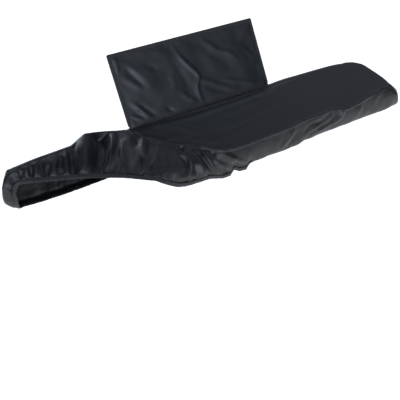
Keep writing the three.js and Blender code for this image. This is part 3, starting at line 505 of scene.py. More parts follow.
def section_lengths(keys):
    s = along(keys, np.tile(np.linspace(0, 1, 41), (len(keys), 1)))
    return np.linalg.norm(np.diff(s, axis=1), axis=2).sum(axis=1)


# The sleeve.
S_LEFT, S_RIGHT, S_FOOT_Y, S_FOOT_Z, S_HEIGHT = 403.0, 960.0, 237.5, 118.0, 236.5
S_LEAN = math.radians(26.6)
S_UP = np.array([0, math.sin(S_LEAN), math.cos(S_LEAN)])
S_OUT = np.array([0, -math.cos(S_LEAN), math.sin(S_LEAN)])


def sleeve_at(a, b, n):
    a, b, n = np.broadcast_arrays(a, b, n)
    p = np.zeros(a.shape + (3,))
    p[..., 0] = S_LEFT + a
    p[..., 1] = S_FOOT_Y
    p[..., 2] = S_FOOT_Z
    return p + b[..., None] * S_UP + n[..., None] * S_OUT


def sleeve_fold(a, b):
    total = np.zeros(np.broadcast(a, b).shape)
    for depth, half, first, last, points in SLEEVE_FOLDS:
        total += stroke(np.stack(np.broadcast_arrays(a, b), -1), np.array(points, float), depth, half, first, last)
    return total


def spline(points, step):
    """Points every step or so along a smooth curve through points (K, D), and their share of its length."""
    points = np.asarray(points, float)
    if len(points) == 2:
        points = np.array([points[0], points.mean(axis=0), points[1]])
    length = np.linalg.norm(np.diff(points, axis=0), axis=1).sum()
    t = np.linspace(0, 1, max(int(length / step), 4) + 1)
    return along(points[None], t[None])[0], t


def stroke(places, points, depth, half, first, last):
    """A soft ridge (or a trough) of that height along a curve, at places (..., D); first and last are its share at its two ends."""
    curve, t = spline(points, half / 5)
    flat = places.reshape(-1, places.shape[-1])
    out = np.zeros(len(flat))
    reach = 2.6 * half
    near = np.where(
        np.all((flat > curve.min(axis=0) - reach) & (flat < curve.max(axis=0) + reach), axis=1)
    )[0]
    if not len(near):
        return out.reshape(places.shape[:-1])
    d2 = ((flat[near][:, None] - curve[None]) ** 2).sum(axis=2)
    k = d2.argmin(axis=1)
    d = np.sqrt(d2[np.arange(len(near)), k]) / half
    on = lerp(first, 1, smooth(0, 0.35, t[k])) * lerp(last, 1, smooth(0, 0.35, 1 - t[k]))
    out[near] = depth * on * np.exp(-d * d)
    return out.reshape(places.shape[:-1])


def waves(u, v, size, seed, stretch=1.0, count=40):
    """Smooth irregular swells of about that size, from -1 to 1 or so, drawn out along u by stretch."""
    rng = np.random.default_rng(seed)
    total = np.zeros(np.broadcast(u, v).shape)
    for _ in range(count):
        turn = rng.uniform(0, 2 * math.pi)
        k = 2 * math.pi / (size * rng.uniform(0.7, 1.5))
        total += np.cos(
            k * (u / stretch * math.cos(turn) + v * math.sin(turn)) + rng.uniform(0, 2 * math.pi)
        )
    return total / math.sqrt(count / 2) * 0.7


def relax(start, loop, free, slack, rounds, hold, bend, kick=None):
    """Cloth of start's shape (I, J, 3) let go: it keeps its lengths, grown by slack (I, J) along its first direction, and buckles where it has too much."""
    I, J = start.shape[:2]
    ids = np.arange(I * J).reshape(I, J)
    home = start.reshape(-1, 3)
    at = home + (0 if kick is None else kick.reshape(-1, 3))
    slack = slack.reshape(-1)
    free = free.reshape(-1)
    batches = []
    for di, dj, stiff, share in ((1, 0, 1, 1), (0, 1, 1, 0), (1, 1, 0.5, 0.5), (1, -1, 0.5, 0.5), (2, 0, bend, 1), (0, 2, bend, 0)):
        a = ids
        if loop:
            b = np.roll(ids, -di, axis=0)
        else:
            a, b = (ids[: I - di], ids[di:]) if di else (ids, ids)
        line = np.arange(a.shape[0])[:, None] + np.zeros((1, J), int)
        across = np.arange(J)[None, :] + np.zeros((a.shape[0], 1), int)
        if dj > 0:
            a, b, line, across = a[:, :-dj], b[:, dj:], line[:, :-dj], across[:, :-dj]
        elif dj < 0:
            a, b, line, across = a[:, -dj:], b[:, :dj], line[:, -dj:], across[:, -dj:]
        colour = (line // di) % 2 if di else (across // dj) % 2
        for c in (0, 1):
            m = colour == c
            p, q = a[m], b[m]
            moves = free[p] + free[q]
            m2 = moves > 0
            p, q, moves = p[m2], q[m2], moves[m2]
            rest = np.linalg.norm(home[q] - home[p], axis=1) * (1 + share * (slack[p] + slack[q]) / 2)
            batches.append((p, q, rest, stiff * (free[p] / moves)[:, None], stiff * (free[q] / moves)[:, None]))
    pull = (hold * (free > 0))[:, None] if np.isscalar(hold) else (hold.reshape(-1) * (free > 0))[:, None]
    for _ in range(rounds):
        at += pull * (home - at)
        for p, q, rest, wp, wq in batches:
            d = at[q] - at[p]
            n = np.sqrt(np.einsum("ij,ij->i", d, d)) + 1e-9
            d *= ((n - rest) / n)[:, None]
            at[p] += wp * d
            at[q] -= wq * d
    return at.reshape(I, J, 3)


def blur(grid, share, times, loop, free):
    """Takes the finest jaggedness out."""
    w = free[..., None] * share
    for _ in range(times):
        if loop:
            u = (np.roll(grid, 1, axis=0) + np.roll(grid, -1, axis=0)) / 2
        else:
            u = grid.copy()
            u[1:-1] = (grid[2:] + grid[:-2]) / 2
        v = grid.copy()
        v[:, 1:-1] = (grid[:, 2:] + grid[:, :-2]) / 2
        grid = grid + w * ((u + v) / 2 - grid)
    return grid


# ------------------------------------------------------------- the cloth's shape
CLOTH_MM = 1.2
BAND = 15.0

FX = np.arange(6, 1350.01, 2.8)
FX = np.linspace(6, 1350, 2 * (len(FX) // 2) + 1)
BX = np.linspace(6, 1350, 337)
LW = np.linspace(0, 1, 26)[1:-1]
RW = np.linspace(0, 1, 86)[1:-1]


EDGE_RAISE = {"front": (0, -0.55, 1.1), "back": (0, 0.55, 1.1), "left": (-0.55, 0, 1.1), "right": (0.55, 0, 1.1)}


def make_skirt():
    ring = skirt_ring(FX, LW, BX, RW)
    side, x, w, at = ring
    spare = len(x) % 4
    if spare:  # the relaxing works on rings of a multiple of four
        keep = np.ones(len(x), bool)
        keep[np.where(side == "back")[0][3 : 3 + 40 * spare : 40][:spare]] = False
        side, x, w, at = (v[keep] for v in (side, x, w, at))
        ring = (side, x, w, at)
    keys, outward = skirt_keys(ring)
    length = section_lengths(keys)
    near_seam = np.array([0, 1.3, 2.6, 4, 5.5, 7.2, 9.2, 12])
    near_band = np.array([11, 7.5, 4.6, 2.4, 0.9])
    middle = 22
    in_band = np.array([0.9, 3.2, 6, 9, 12, 14.1, 15.0])
    down = []
    for L in length:
        end = L - BAND
        mid = np.linspace(near_seam[-1], end - near_band[0], middle + 2)[1:-1]
        down.append(np.concatenate([near_seam, mid, end - near_band, end + in_band]))
    down = np.array(down)
    seam_rows = len(near_seam)
    J = down.shape[1]
    skirt_rows = J - len(in_band)
    base = along(keys, down / length[:, None])
    out = normals(base, True)
    sign = np.sign((out[:, :8] * outward[:, None]).sum(axis=(1, 2)).mean())
    out = out * sign
    # arc length along the ring, at the seam and at the band
    seg = np.linalg.norm(np.roll(base, -1, axis=0) - base, axis=2)
    run = np.concatenate([np.zeros((1, J)), np.cumsum(seg, axis=0)[:-1]], axis=0)
    s = run[:, skirt_rows // 2][:, None] + np.zeros((1, J))
    s_band = run[:, skirt_rows][:, None] + np.zeros((1, J))
    s_seam = run[:, 1][:, None] + np.zeros((1, J))
    d = down  # from the seam, mm
    e = (length - BAND)[:, None] - down  # from the band's upper edge, mm

    lift = np.zeros(base.shape[:2])
    # folds seen on the front, each along its own curve on the cloth
    front = np.where(side == "front")[0]
    order = front[np.argsort(at[front])]
    fat = at[order]
    for depth, half, first, last, points in SKIRT_FOLDS:
        pts = []
        for a, h in points:
            i = order[min(np.searchsorted(fat, a), len(fat) - 1)]
            pts.append(along(keys[i : i + 1], np.array([[h]]))[0, 0])
        lift += stroke(base, np.array(pts), depth, half, first, last)
    # softer folds where the photograph doesn't look: the back, the ends
    for place, depth, half, lean, top_h, foot_h, s_ in OTHER_FOLDS:
        m = np.where(side == place)[0]
        o = m[np.argsort(at[m])]
        i0 = o[min(np.searchsorted(at[o], s_), len(o) - 1)]
        i1 = o[min(np.searchsorted(at[o], s_ + lean), len(o) - 1)]
        p0 = along(keys[i0 : i0 + 1], np.array([[top_h]]))[0, 0]
        p1 = along(keys[i1 : i1 + 1], np.array([[foot_h]]))[0, 0]
        lift += stroke(base, np.array([p0, p1]), depth, half, 0.4, 0.5)
    # the sewn seam and the tucked hem don't follow the folds
    lift *= smooth(-4, 11, d) * smooth(-6, 9, e)
    slacker = np.where(side == "front", 1 - 0.6 * smooth(600, 700, at), 1.0)[:, None]
    lift += 0.8 * waves(s, d, 60, 3, 1.0) * smooth(0, 30, d) * smooth(0, 20, e)
    lift += 0.35 * waves(s, d, 17, 4, 1.0) * smooth(0, 12, d) * smooth(0, 14, e) * slacker

    # gathers that the elastic draws above the band
    rng = np.random.default_rng(11)
    around = run[-1, skirt_rows] + seg[-1, skirt_rows]
    pos = 0.0
    teeth = np.zeros_like(lift)
    sb = s_band[:, 0]
    while pos < around - 5:
        wide = rng.uniform(2.6, 5.2)
        amp = rng.uniform(0.8, 2.6) * (1 if rng.random() < 0.62 else -0.8)
        tall = rng.uniform(9, 34)
        lean = rng.uniform(-0.3, 0.3)
        off = (sb - pos + around / 2) % around - around / 2
        m = np.where(np.abs(off) < 30)[0]
        dd = off[m][:, None] + lean * e[m]
        g = np.exp(-((dd / wide) ** 2)) * np.exp(-((np.maximum(e[m], 0) / tall) ** 1.6))
        teeth[m] += amp * g
        pos += rng.uniform(6.5, 14.5)
    # the cloth is taut along the treble end's front, and gathered where it was pushed back
    loose = np.where(side == "front", 1 - 0.85 * smooth(600, 700, at), 0.8)[:, None]
    lift += teeth * smooth(-7, 1.5, e) * GATHER * loose
    # the sewn edge: a lip, its stitched line, and the puckers beside it
    pucker = waves(s_seam, 0 * d, 15, 21) * 0.5 + waves(s_seam, 0 * d, 34, 22) * 0.5
    lift += 0.7 * np.exp(-(((d - 3.0) / 2.6) ** 2))
    lift -= 0.5 * np.exp(-(((d - 7.4) / 1.9) ** 2))
    lift += 0.8 * pucker * smooth(0.5, 4, d) * np.exp(-((d / 16) ** 2)) * lerp(0.35, 1, (slacker - 0.4) / 0.6)
    # the dark line where skirt and band are sewn together
    lift -= 2.4 * np.exp(-(((e + 0.2) / 2.0) ** 2))
    raise_edge = np.array([EDGE_RAISE[k] for k in side])[:, None] * (np.exp(-((d / 3.2) ** 2)) * (1 - mouth(x) * (side == "back"))[:, None])[..., None]
    shape = base + lift[..., None] * out + raise_edge
    # behind the sleeve nothing is seen, and everywhere the band's edge is held
    free = (smooth(0.5, 2.2, d) * smooth(-1, 1.5, e))
    slack = (SLACK_LOW * smooth(55, 0, e) + SLACK_ALL) * lerp(0.15, 1, (slacker - 0.4) / 0.6)
    kick = (0.5 * waves(s, d, 11, 31) * free)[..., None] * out
    shape = relax(shape, True, free, slack, ROUNDS, 0.012, 0.16, kick)
    shape = blur(shape, 0.5, 2, True, free)
    # ribs of the gathered band
    rib = waves(s_band, 0 * d, 5.5, 41, 1.0) * 0.45 + waves(s_band, 0 * d, 12, 42) * 0.3
    inside = smooth(0.5, -1.5, e)
    shape = shape + (inside * (rib + 0.9 * np.sin(np.clip(-e / BAND, 0, 1) * math.pi)))[..., None] * out
    uv = np.stack([s, d], -1) / 1000
    return dict(
        ring=ring, keys=keys, base=base, shape=shape, out=out, down=down, length=length, uv=uv,
        rows=skirt_rows, s=s, e=e, s_band=s_band,
    )


skirt = make_skirt()


def make_top():
    x = np.unique(np.concatenate([np.linspace(6, 1350, 321), 6 + np.array([1.5, 3, 5, 7.5]), 1350 - np.array([1.5, 3, 5, 7.5])]))
    keys_len = np.linalg.norm(np.diff(top_at(x, np.tile(np.linspace(0, 1, 60), (len(x), 1))), axis=1), axis=2).sum(axis=1)
    edge = np.array([0, 1.4, 3, 5, 7.5, 10.5])
    across = []
    for L in keys_len:
        across.append(np.concatenate([edge, np.linspace(edge[-1], L - edge[-1], 48)[1:-1], (L - edge)[::-1]]))
    across = np.array(across)
    w = across / keys_len[:, None]
    base = top_at(x, w)
    out = normals(base)
    out *= np.sign(out[len(x) // 2 :, :, 2].mean())
    f, g = across, keys_len[:, None] - across  # from the front edge, from the back edge
    lx = (x - x[0])[:, None] + 0 * f
    rx = (x[-1] - x)[:, None] + 0 * f
    side = np.minimum(np.minimum(f, g), np.minimum(lx, rx) + 0.0)
    lift = np.zeros(base.shape[:2])
    for depth, half, first, last, points in TOP_FOLDS:
        pts = np.array([top_at(np.array([float(a)]), np.array([[b]]))[0, 0] for a, b in points])
        lift += stroke(base, pts, depth, half, first, last)
    s = x[:, None] + 0 * f
    lift += 0.45 * waves(s, f, 36, 51, 6.0)
    lift += 0.3 * waves(s, f, 90, 52, 2.5)
    lift += 0.06 * waves(s, f, 14, 53, 1.6)
    lift *= smooth(-3, 14, f) * smooth(-3, 14, g) * smooth(-3, 14, rx) * smooth(-3, 14, lx)
    pucker = waves(s, 0 * f, 15, 61) * 0.5 + waves(s, 0 * f, 36, 62) * 0.5
    calm = lerp(1, 0.35, smooth(600, 700, s))
    lift += 0.6 * calm * pucker * (np.exp(-((f / 13) ** 2)) * smooth(0.3, 4, f) + np.exp(-((g / 13) ** 2)) * smooth(0.3, 4, g))
    near = lambda v: np.exp(-((v / 3.2) ** 2))[..., None]
    at_rest = 1 - mouth(s)
    shape = base + lift[..., None] * out
    shape = shape + near(f) * np.array(EDGE_RAISE["front"]) + near(g) * at_rest[..., None] * np.array(EDGE_RAISE["back"])
    corner = (smooth(0, 4, f) * smooth(0, 4, g))[..., None]
    shape = shape + corner * (near(lx) * np.array(EDGE_RAISE["left"]) + near(rx) * np.array(EDGE_RAISE["right"]))
    # the sewn edge stands a little proud, then the panel falls away from it
    shape = shape + (1.5 * np.exp(-(((f - 3.5) / 4.5) ** 2)) * smooth(0, 2.5, f))[..., None] * out
    free = smooth(0.3, 3, f) * smooth(0.3, 3, g) * smooth(0.3, 3, rx) * smooth(0.3, 3, lx)
    kick = (0.25 * waves(s, f, 16, 63) * free)[..., None] * out
    shape = relax(shape, False, free, np.full(free.shape, TOP_SLACK), 90, 0.03, 0.2, kick)
    shape = blur(shape, 0.5, 2, False, free)
    uv = np.stack([s, f], -1) / 1000
    return dict(x=x, shape=shape, uv=uv, out=out, f=f, g=g)


top_sheet = make_top()

S_HALF, S_EDGE, S_MARGIN, S_RISE, S_SHEET = 6.5, 1.9, 8.0, 70.0, 1.2
S_WIDTH = S_RIGHT - S_LEFT


def make_sleeve(n):
    low = -0.4 if n > 0 else -0.8
    step = 3.0 if n > 0 else 4.5
    a = np.linspace(0, S_WIDTH, 2 * int(S_WIDTH / step / 2) + 1)
    b = np.linspace(low, S_HEIGHT, 2 * int(S_HEIGHT / step / 2) + 1)
    A, B = np.meshgrid(a, b, indexing="ij")
    edge = np.minimum(np.minimum(A, S_WIDTH - A), S_HEIGHT - B)
    filled = smooth(S_MARGIN, S_MARGIN + S_RISE, edge)
    # at its foot a panel fills out sooner, to meet the edge that it is sewn to
    at_foot = smooth(8.6, 14, np.minimum(A, S_WIDTH - A)) * (1 - smooth(6, 30, B))
    filled = np.maximum(filled, at_foot)
    if n > 0:
        fold = sleeve_fold(A, B)
        fold += 1.0 * waves(A, B, 95, 71) + 0.14 * waves(A, B, 40, 72)
    else:
        fold = 1.2 * waves(A, B, 110, 73) + 0.5 * waves(A, B, 34, 74)
        for depth, half, first, last, points in SLEEVE_BACK_FOLDS:
            fold += stroke(np.stack([A, B], -1), np.array(points, float), depth, half, first, last)
    fold *= smooth(2, 24, edge) * smooth(0, 16, B)
    fold += 0.5 * waves(A, B, 22, 75) * np.exp(-(((edge - 12) / 8) ** 2)) * smooth(8.5, 12, edge)
    out = np.broadcast_to(S_OUT * n, A.shape + (3,))
    shape = sleeve_at(A, B, n * (lerp(S_EDGE, S_HALF, filled) + fold))
    free = smooth(8, 11, edge) * smooth(1, 5, B)
    kick = (0.12 * waves(A, B, 16, 76) * free)[..., None] * out
    shape = relax(shape, False, free, np.full(A.shape, SLEEVE_SLACK), 110, 0.03, 0.2, kick)
    shape = blur(shape, 0.5, 3, False, free)
    # the two panels never meet
    off = ((shape - np.array([0, S_FOOT_Y, S_FOOT_Z])) @ S_OUT) * n
    low_cap = S_EDGE + 0.0 * off
    shape = shape + (np.maximum(low_cap - off, 0) * free)[..., None] * out
    return dict(shape=shape, uv=np.stack([A, B], -1) / 1000, A=A, B=B)


sleeve_front = make_sleeve(1)
sleeve_back = make_sleeve(-1)


# --------------------------------------------------------------- making meshes
def link(obj):
    bpy.context.collection.objects.link(obj)
    return obj


def mesh_object(name, points, faces, uv=None):
    mesh = bpy.data.meshes.new(name)
    mesh.from_pydata(to_row(points).tolist(), [], [list(map(int, f)) for f in faces])
    if uv is not None:
        layer = mesh.uv_layers.new(name="cloth")
        layer.data.foreach_set("uv", np.asarray(uv, np.float32).reshape(-1))
    mesh.shade_smooth()
    return link(bpy.data.objects.new(name, mesh))


def sheet_object(name, grid, out, thickness, loop=False, uv=None, round_edge=0.0):
    """A closed sheet over grid (I, J, 3): its outer face, its inner face and the rims between them."""
    I, J = grid.shape[:2]
    n = normals(grid, loop)
    n = n * np.sign((n * out).sum(axis=2).mean())
    t = np.full((I, J), thickness / 2)
    if round_edge:
        t[:, 0] = t[:, -1] = round_edge
    points = np.concatenate([(grid + n * t[..., None]).reshape(-1, 3), (grid - n * t[..., None]).reshape(-1, 3)])
    N = I * J
    rows_ = I if loop else I - 1
    i, j = [v.reshape(-1) for v in np.meshgrid(np.arange(rows_), np.arange(J - 1), indexing="ij")]
    i2 = (i + 1) % I
    a, b, c, d = i * J + j, i2 * J + j, i2 * J + j + 1, i * J + j + 1
    faces = [np.stack([a, b, c, d], 1), np.stack([a, d, c, b], 1) + N]
    tex = np.concatenate([uv, uv[:1] + [[[0, 0]]]]) if loop else uv
    if loop:
        gap = np.linalg.norm(grid[0, J // 2] - grid[-1, J // 2]) / 1000
        tex[-1, :, 0] = uv[-1, :, 0] + gap
    quad = lambda p: np.stack([tex[i, j], tex[i + 1, j], tex[i + 1, j + 1], tex[i, j + 1]], 1)[:, p]
    uvs = [quad([0, 1, 2, 3]), quad([0, 3, 2, 1])]
    r = np.arange(rows_)
    r2 = (r + 1) % I
    for jj, flip in ((0, False), (J - 1, True)):
        e = [r * J + jj, r * J + jj + N, r2 * J + jj + N, r2 * J + jj]
        u = [tex[r, jj], tex[r, jj], tex[r + 1, jj], tex[r + 1, jj]]
        if flip:
            e, u = e[::-1], u[::-1]
        faces.append(np.stack(e, 1))
        uvs.append(np.stack(u, 1))
    if not loop:
        q = np.arange(J - 1)
        for ii, flip in ((0, True), (I - 1, False)):
            e = [ii * J + q, ii * J + q + N, ii * J + q + 1 + N, ii * J + q + 1]
            u = [tex[ii, q], tex[ii, q], tex[ii, q + 1], tex[ii, q + 1]]
            if flip:
                e, u = e[::-1], u[::-1]
            faces.append(np.stack(e, 1))
            uvs.append(np.stack(u, 1))
    faces = np.concatenate(faces)
    uvs = np.concatenate(uvs)
    # faces point out whichever way round the grid was walked
    p = points[faces]
    volume = np.einsum("ij,ij->", p[:, 0], np.cross(p[:, 1], p[:, 2]) + np.cross(p[:, 2], p[:, 3]))
    if volume < 0:
        faces, uvs = faces[:, ::-1], uvs[:, ::-1]
    return mesh_object(name, points, faces, uvs)


def stitches(name, path, out, pitch=3.2, long=2.3, radius=0.3, closed=False):
    """A row of machine stitches laid along path (K, 3), each sunk into the cloth at its ends."""
    path = np.asarray(path, float)
    if closed:
        path = np.concatenate([path, path[:1]])
        out = np.concatenate([out, out[:1]])
    step = np.linalg.norm(np.diff(path, axis=0), axis=1)
    at = np.concatenate([[0], np.cumsum(step)])
    count = int(at[-1] / pitch)
    centre = (np.arange(count) + 0.5) * at[-1] / count
    ring = 5
    spots = np.array([-0.5, -0.3, 0, 0.3, 0.5])
    rise = np.array([-0.30, 0.20, 0.34, 0.20, -0.30])
    size = np.array([0.6, 1, 1, 1, 0.6]) * radius
    K = len(spots)
    where = centre[:, None] + spots[None] * long
    P = np.stack([np.interp(where, at, path[:, k]) for k in range(3)], -1)
    N = unit(np.stack([np.interp(where, at, out[:, k]) for k in range(3)], -1))
    T = unit(np.gradient(P, axis=1))
    S = unit(np.cross(T, N))
    P = P + N * rise[None, :, None]
    turn = 2 * math.pi * np.arange(ring) / ring
    V = (
        P[:, :, None]
        + (S[:, :, None] * np.cos(turn)[None, None, :, None] + N[:, :, None] * np.sin(turn)[None, None, :, None])
        * size[None, :, None, None]
    )
    points = V.reshape(-1, 3)
    faces = []
    base = np.arange(count) * K * ring
    for k in range(K - 1):
        for m in range(ring):
            m2 = (m + 1) % ring
            faces.append(np.stack([base + k * ring + m, base + k * ring + m2, base + (k + 1) * ring + m2, base + (k + 1) * ring + m], 1))
    faces = [list(f) for f in np.concatenate(faces)]
    for b0 in base:
        faces.append([int(b0 + m) for m in range(ring)][::-1])
        faces.append([int(b0 + (K - 1) * ring + m) for m in range(ring)])
    obj = mesh_object(name, points, faces)
    bm = bmesh.new()
    bm.from_mesh(obj.data)
    bmesh.ops.recalc_face_normals(bm, faces=bm.faces)
    bm.to_mesh(obj.data)
    bm.free()
    return obj


# the skirt goes on under the band's upper edge; the band covers it
rows_ = skirt["rows"]
S = skirt["shape"]
under = S[:, : rows_ + 2].copy()
under[:, rows_:] -= 1.3 * skirt["out"][:, rows_ : rows_ + 2]
skirt_cloth = sheet_object("skirt_cloth", under, skirt["out"][:, : rows_ + 2], CLOTH_MM, True, skirt["uv"][:, : rows_ + 2])
hem_band = sheet_object("hem_band", S[:, rows_:], skirt["out"][:, rows_:], 2.2, True, skirt["uv"][:, rows_:], round_edge=0.6)
top_cloth = sheet_object("top_cloth", top_sheet["shape"], top_sheet["out"], CLOTH_MM, False, top_sheet["uv"])
flat_out = lambda g, n: np.broadcast_to(S_OUT * n, g.shape)
sleeve_front_cloth = sheet_object("sleeve_front_cloth", sleeve_front["shape"], flat_out(sleeve_front["shape"], 1), S_SHEET, False, sleeve_front["uv"])
sleeve_back_cloth = sheet_object("sleeve_back_cloth", sleeve_back["shape"], flat_out(sleeve_back["shape"], -1), S_SHEET, False, sleeve_back["uv"])


def binding():
    """The tape folded over the sleeve's left, top and right edges, with rounded folds and a little ripple."""
    width, thick, clear = 8.5, 1.2, 0.4
    inside = S_EDGE + S_SHEET / 2 + clear - 0.4
    outside = inside + thick
    foot, corner = 6.0, 7.0
    path = []
    for b in np.linspace(foot, S_HEIGHT - corner, 70):
        path.append((0, b, 1, 0))
    for t in np.linspace(0, math.pi / 2, 7)[1:-1]:
        c, s = math.cos(t), math.sin(t)
        path.append((3.0 * (1 - c), S_HEIGHT - 3.0 * (1 - s), c, -s))
    for a in np.linspace(corner, S_WIDTH - corner, 170):
        path.append((a, S_HEIGHT, 0, -1))
    for t in np.linspace(0, math.pi / 2, 7)[1:-1]:
        c, s = math.cos(t), math.sin(t)
        path.append((S_WIDTH - 3.0 * (1 - s), S_HEIGHT - 3.0 * (1 - c), -s, -c))
    for b in np.linspace(S_HEIGHT - corner, foot, 70):
        path.append((S_WIDTH, b, -1, 0))
    path = np.array(path)
    fold = [(-clear - thick * 0.55 - (outside * 0.45) * math.sin(t), outside * math.cos(t)) for t in np.linspace(0, math.pi, 9)[1:-1]]
    hollow = [(-clear * 0.4 - inside * 0.25 * math.sin(t), inside * math.cos(t)) for t in np.linspace(math.pi, 0, 7)[1:-1]]
    front = [(width, inside + 0.1), (width + 0.25, (inside + outside) / 2), (width, outside), (width - 1.2, outside + 0.12), (width * 0.55, outside + 0.2), (0.9, outside + 0.1)]
    back = [(p, -q) for p, q in front[::-1]]
    profile = np.array(front + fold + back + hollow)
    run = np.concatenate([[0], np.cumsum(np.hypot(*np.diff(path[:, :2], axis=0).T))])
    ripple = waves(run, 0 * run, 13, 81) * 0.25 + waves(run, 0 * run, 40, 82) * 0.3
    edge_ripple = waves(run, 0 * run, 17, 83) * 0.25
    P = []
    for k, (a, b, ia, ib) in enumerate(path):
        q = profile.copy()
        q[:, 0] += edge_ripple[k] * (q[:, 0] > width * 0.6)
        n = q[:, 1] + ripple[k] * 0.5
        P.append(sleeve_at(a + ia * q[:, 0], b + ib * q[:, 0], n))
    P = np.array(P)
    I, N = P.shape[:2]
    faces, uv = [], []
    around = np.concatenate([[0], np.cumsum(np.linalg.norm(np.diff(profile, axis=0), axis=1))])
    around = np.concatenate([around, [around[-1] + np.linalg.norm(profile[0] - profile[-1])]])
    for i in range(I - 1):
        for k in range(N):
            k2 = (k + 1) % N
            faces.append([i * N + k, i * N + k2, (i + 1) * N + k2, (i + 1) * N + k])
            uv += [(run[i], around[k]), (run[i], around[k + 1]), (run[i + 1], around[k + 1]), (run[i + 1], around[k])]
    obj = mesh_object("sleeve_binding_tape", P.reshape(-1, 3), faces, np.array(uv) / 1000)
    bm = bmesh.new()
    bm.from_mesh(obj.data)
    bmesh.ops.holes_fill(bm, edges=[e for e in bm.edges if e.is_boundary], sides=0)
    bmesh.ops.recalc_face_normals(bm, faces=bm.faces)
    bm.to_mesh(obj.data)
    bm.free()
    rows2 = []
    for n in (1, -1):
        line = np.array([sleeve_at(a + ia * (width - 1.7), b + ib * (width - 1.7), n * (outside + 0.12) + ripple[k] * 0.5) for k, (a, b, ia, ib) in enumerate(path)])
        rows2.append((line, np.broadcast_to(S_OUT * n, line.shape)))
    return obj, rows2


sleeve_binding_tape, binding_rows = binding()

# machine stitching
outer = lambda g, out, t: g + out * t
j = int(np.argmin(np.abs(skirt["down"][0] - 7.4)))
skn = normals(S, True)
skn = skn * np.sign((skn * skirt["out"]).sum(axis=2).mean())
seam_stitching = stitches("seam_stitching", outer(S[:, 5], skn[:, 5], CLOTH_MM / 2), skn[:, 5], closed=True)
jb = rows_ + 1
hem_stitching = stitches("hem_stitching", outer(S[:, jb], skn[:, jb], 1.1), skn[:, jb], closed=True)
bind_stitch_front = stitches("binding_stitching_front", *binding_rows[0])
bind_stitch_back = stitches("binding_stitching_back", *binding_rows[1])


# -------------------------------------------------------------------- finishes
def principled(name, **values):
    m = bpy.data.materials.new(name)
    m.use_nodes = True
    t = m.node_tree
    p = t.nodes["Principled BSDF"]
    for k, v in values.items():
        p.inputs[k.replace("_", " ")].default_value = v
    return m, t, p


def math_node(t, kind, a, b=None):
    n = t.nodes.new("ShaderNodeMath")
    n.operation = kind
    for k, v in enumerate((a, b)):
        if v is None:
            continue
        if hasattr(v, "is_output"):
            t.links.new(v, n.inputs[k])
        else:
            n.inputs[k].default_value = v
    return n.outputs[0]


def ramp(t, fac, stops):
    n = t.nodes.new("ShaderNodeValToRGB")
    t.links.new(fac, n.inputs[0])
    while len(n.color_ramp.elements) < len(stops):
        n.color_ramp.elements.new(0.5)
    for e, (at, c) in zip(n.color_ramp.elements, stops):
        e.position = at
        e.color = c if len(c) == 4 else (*c, 1)
    return n.outputs[0]


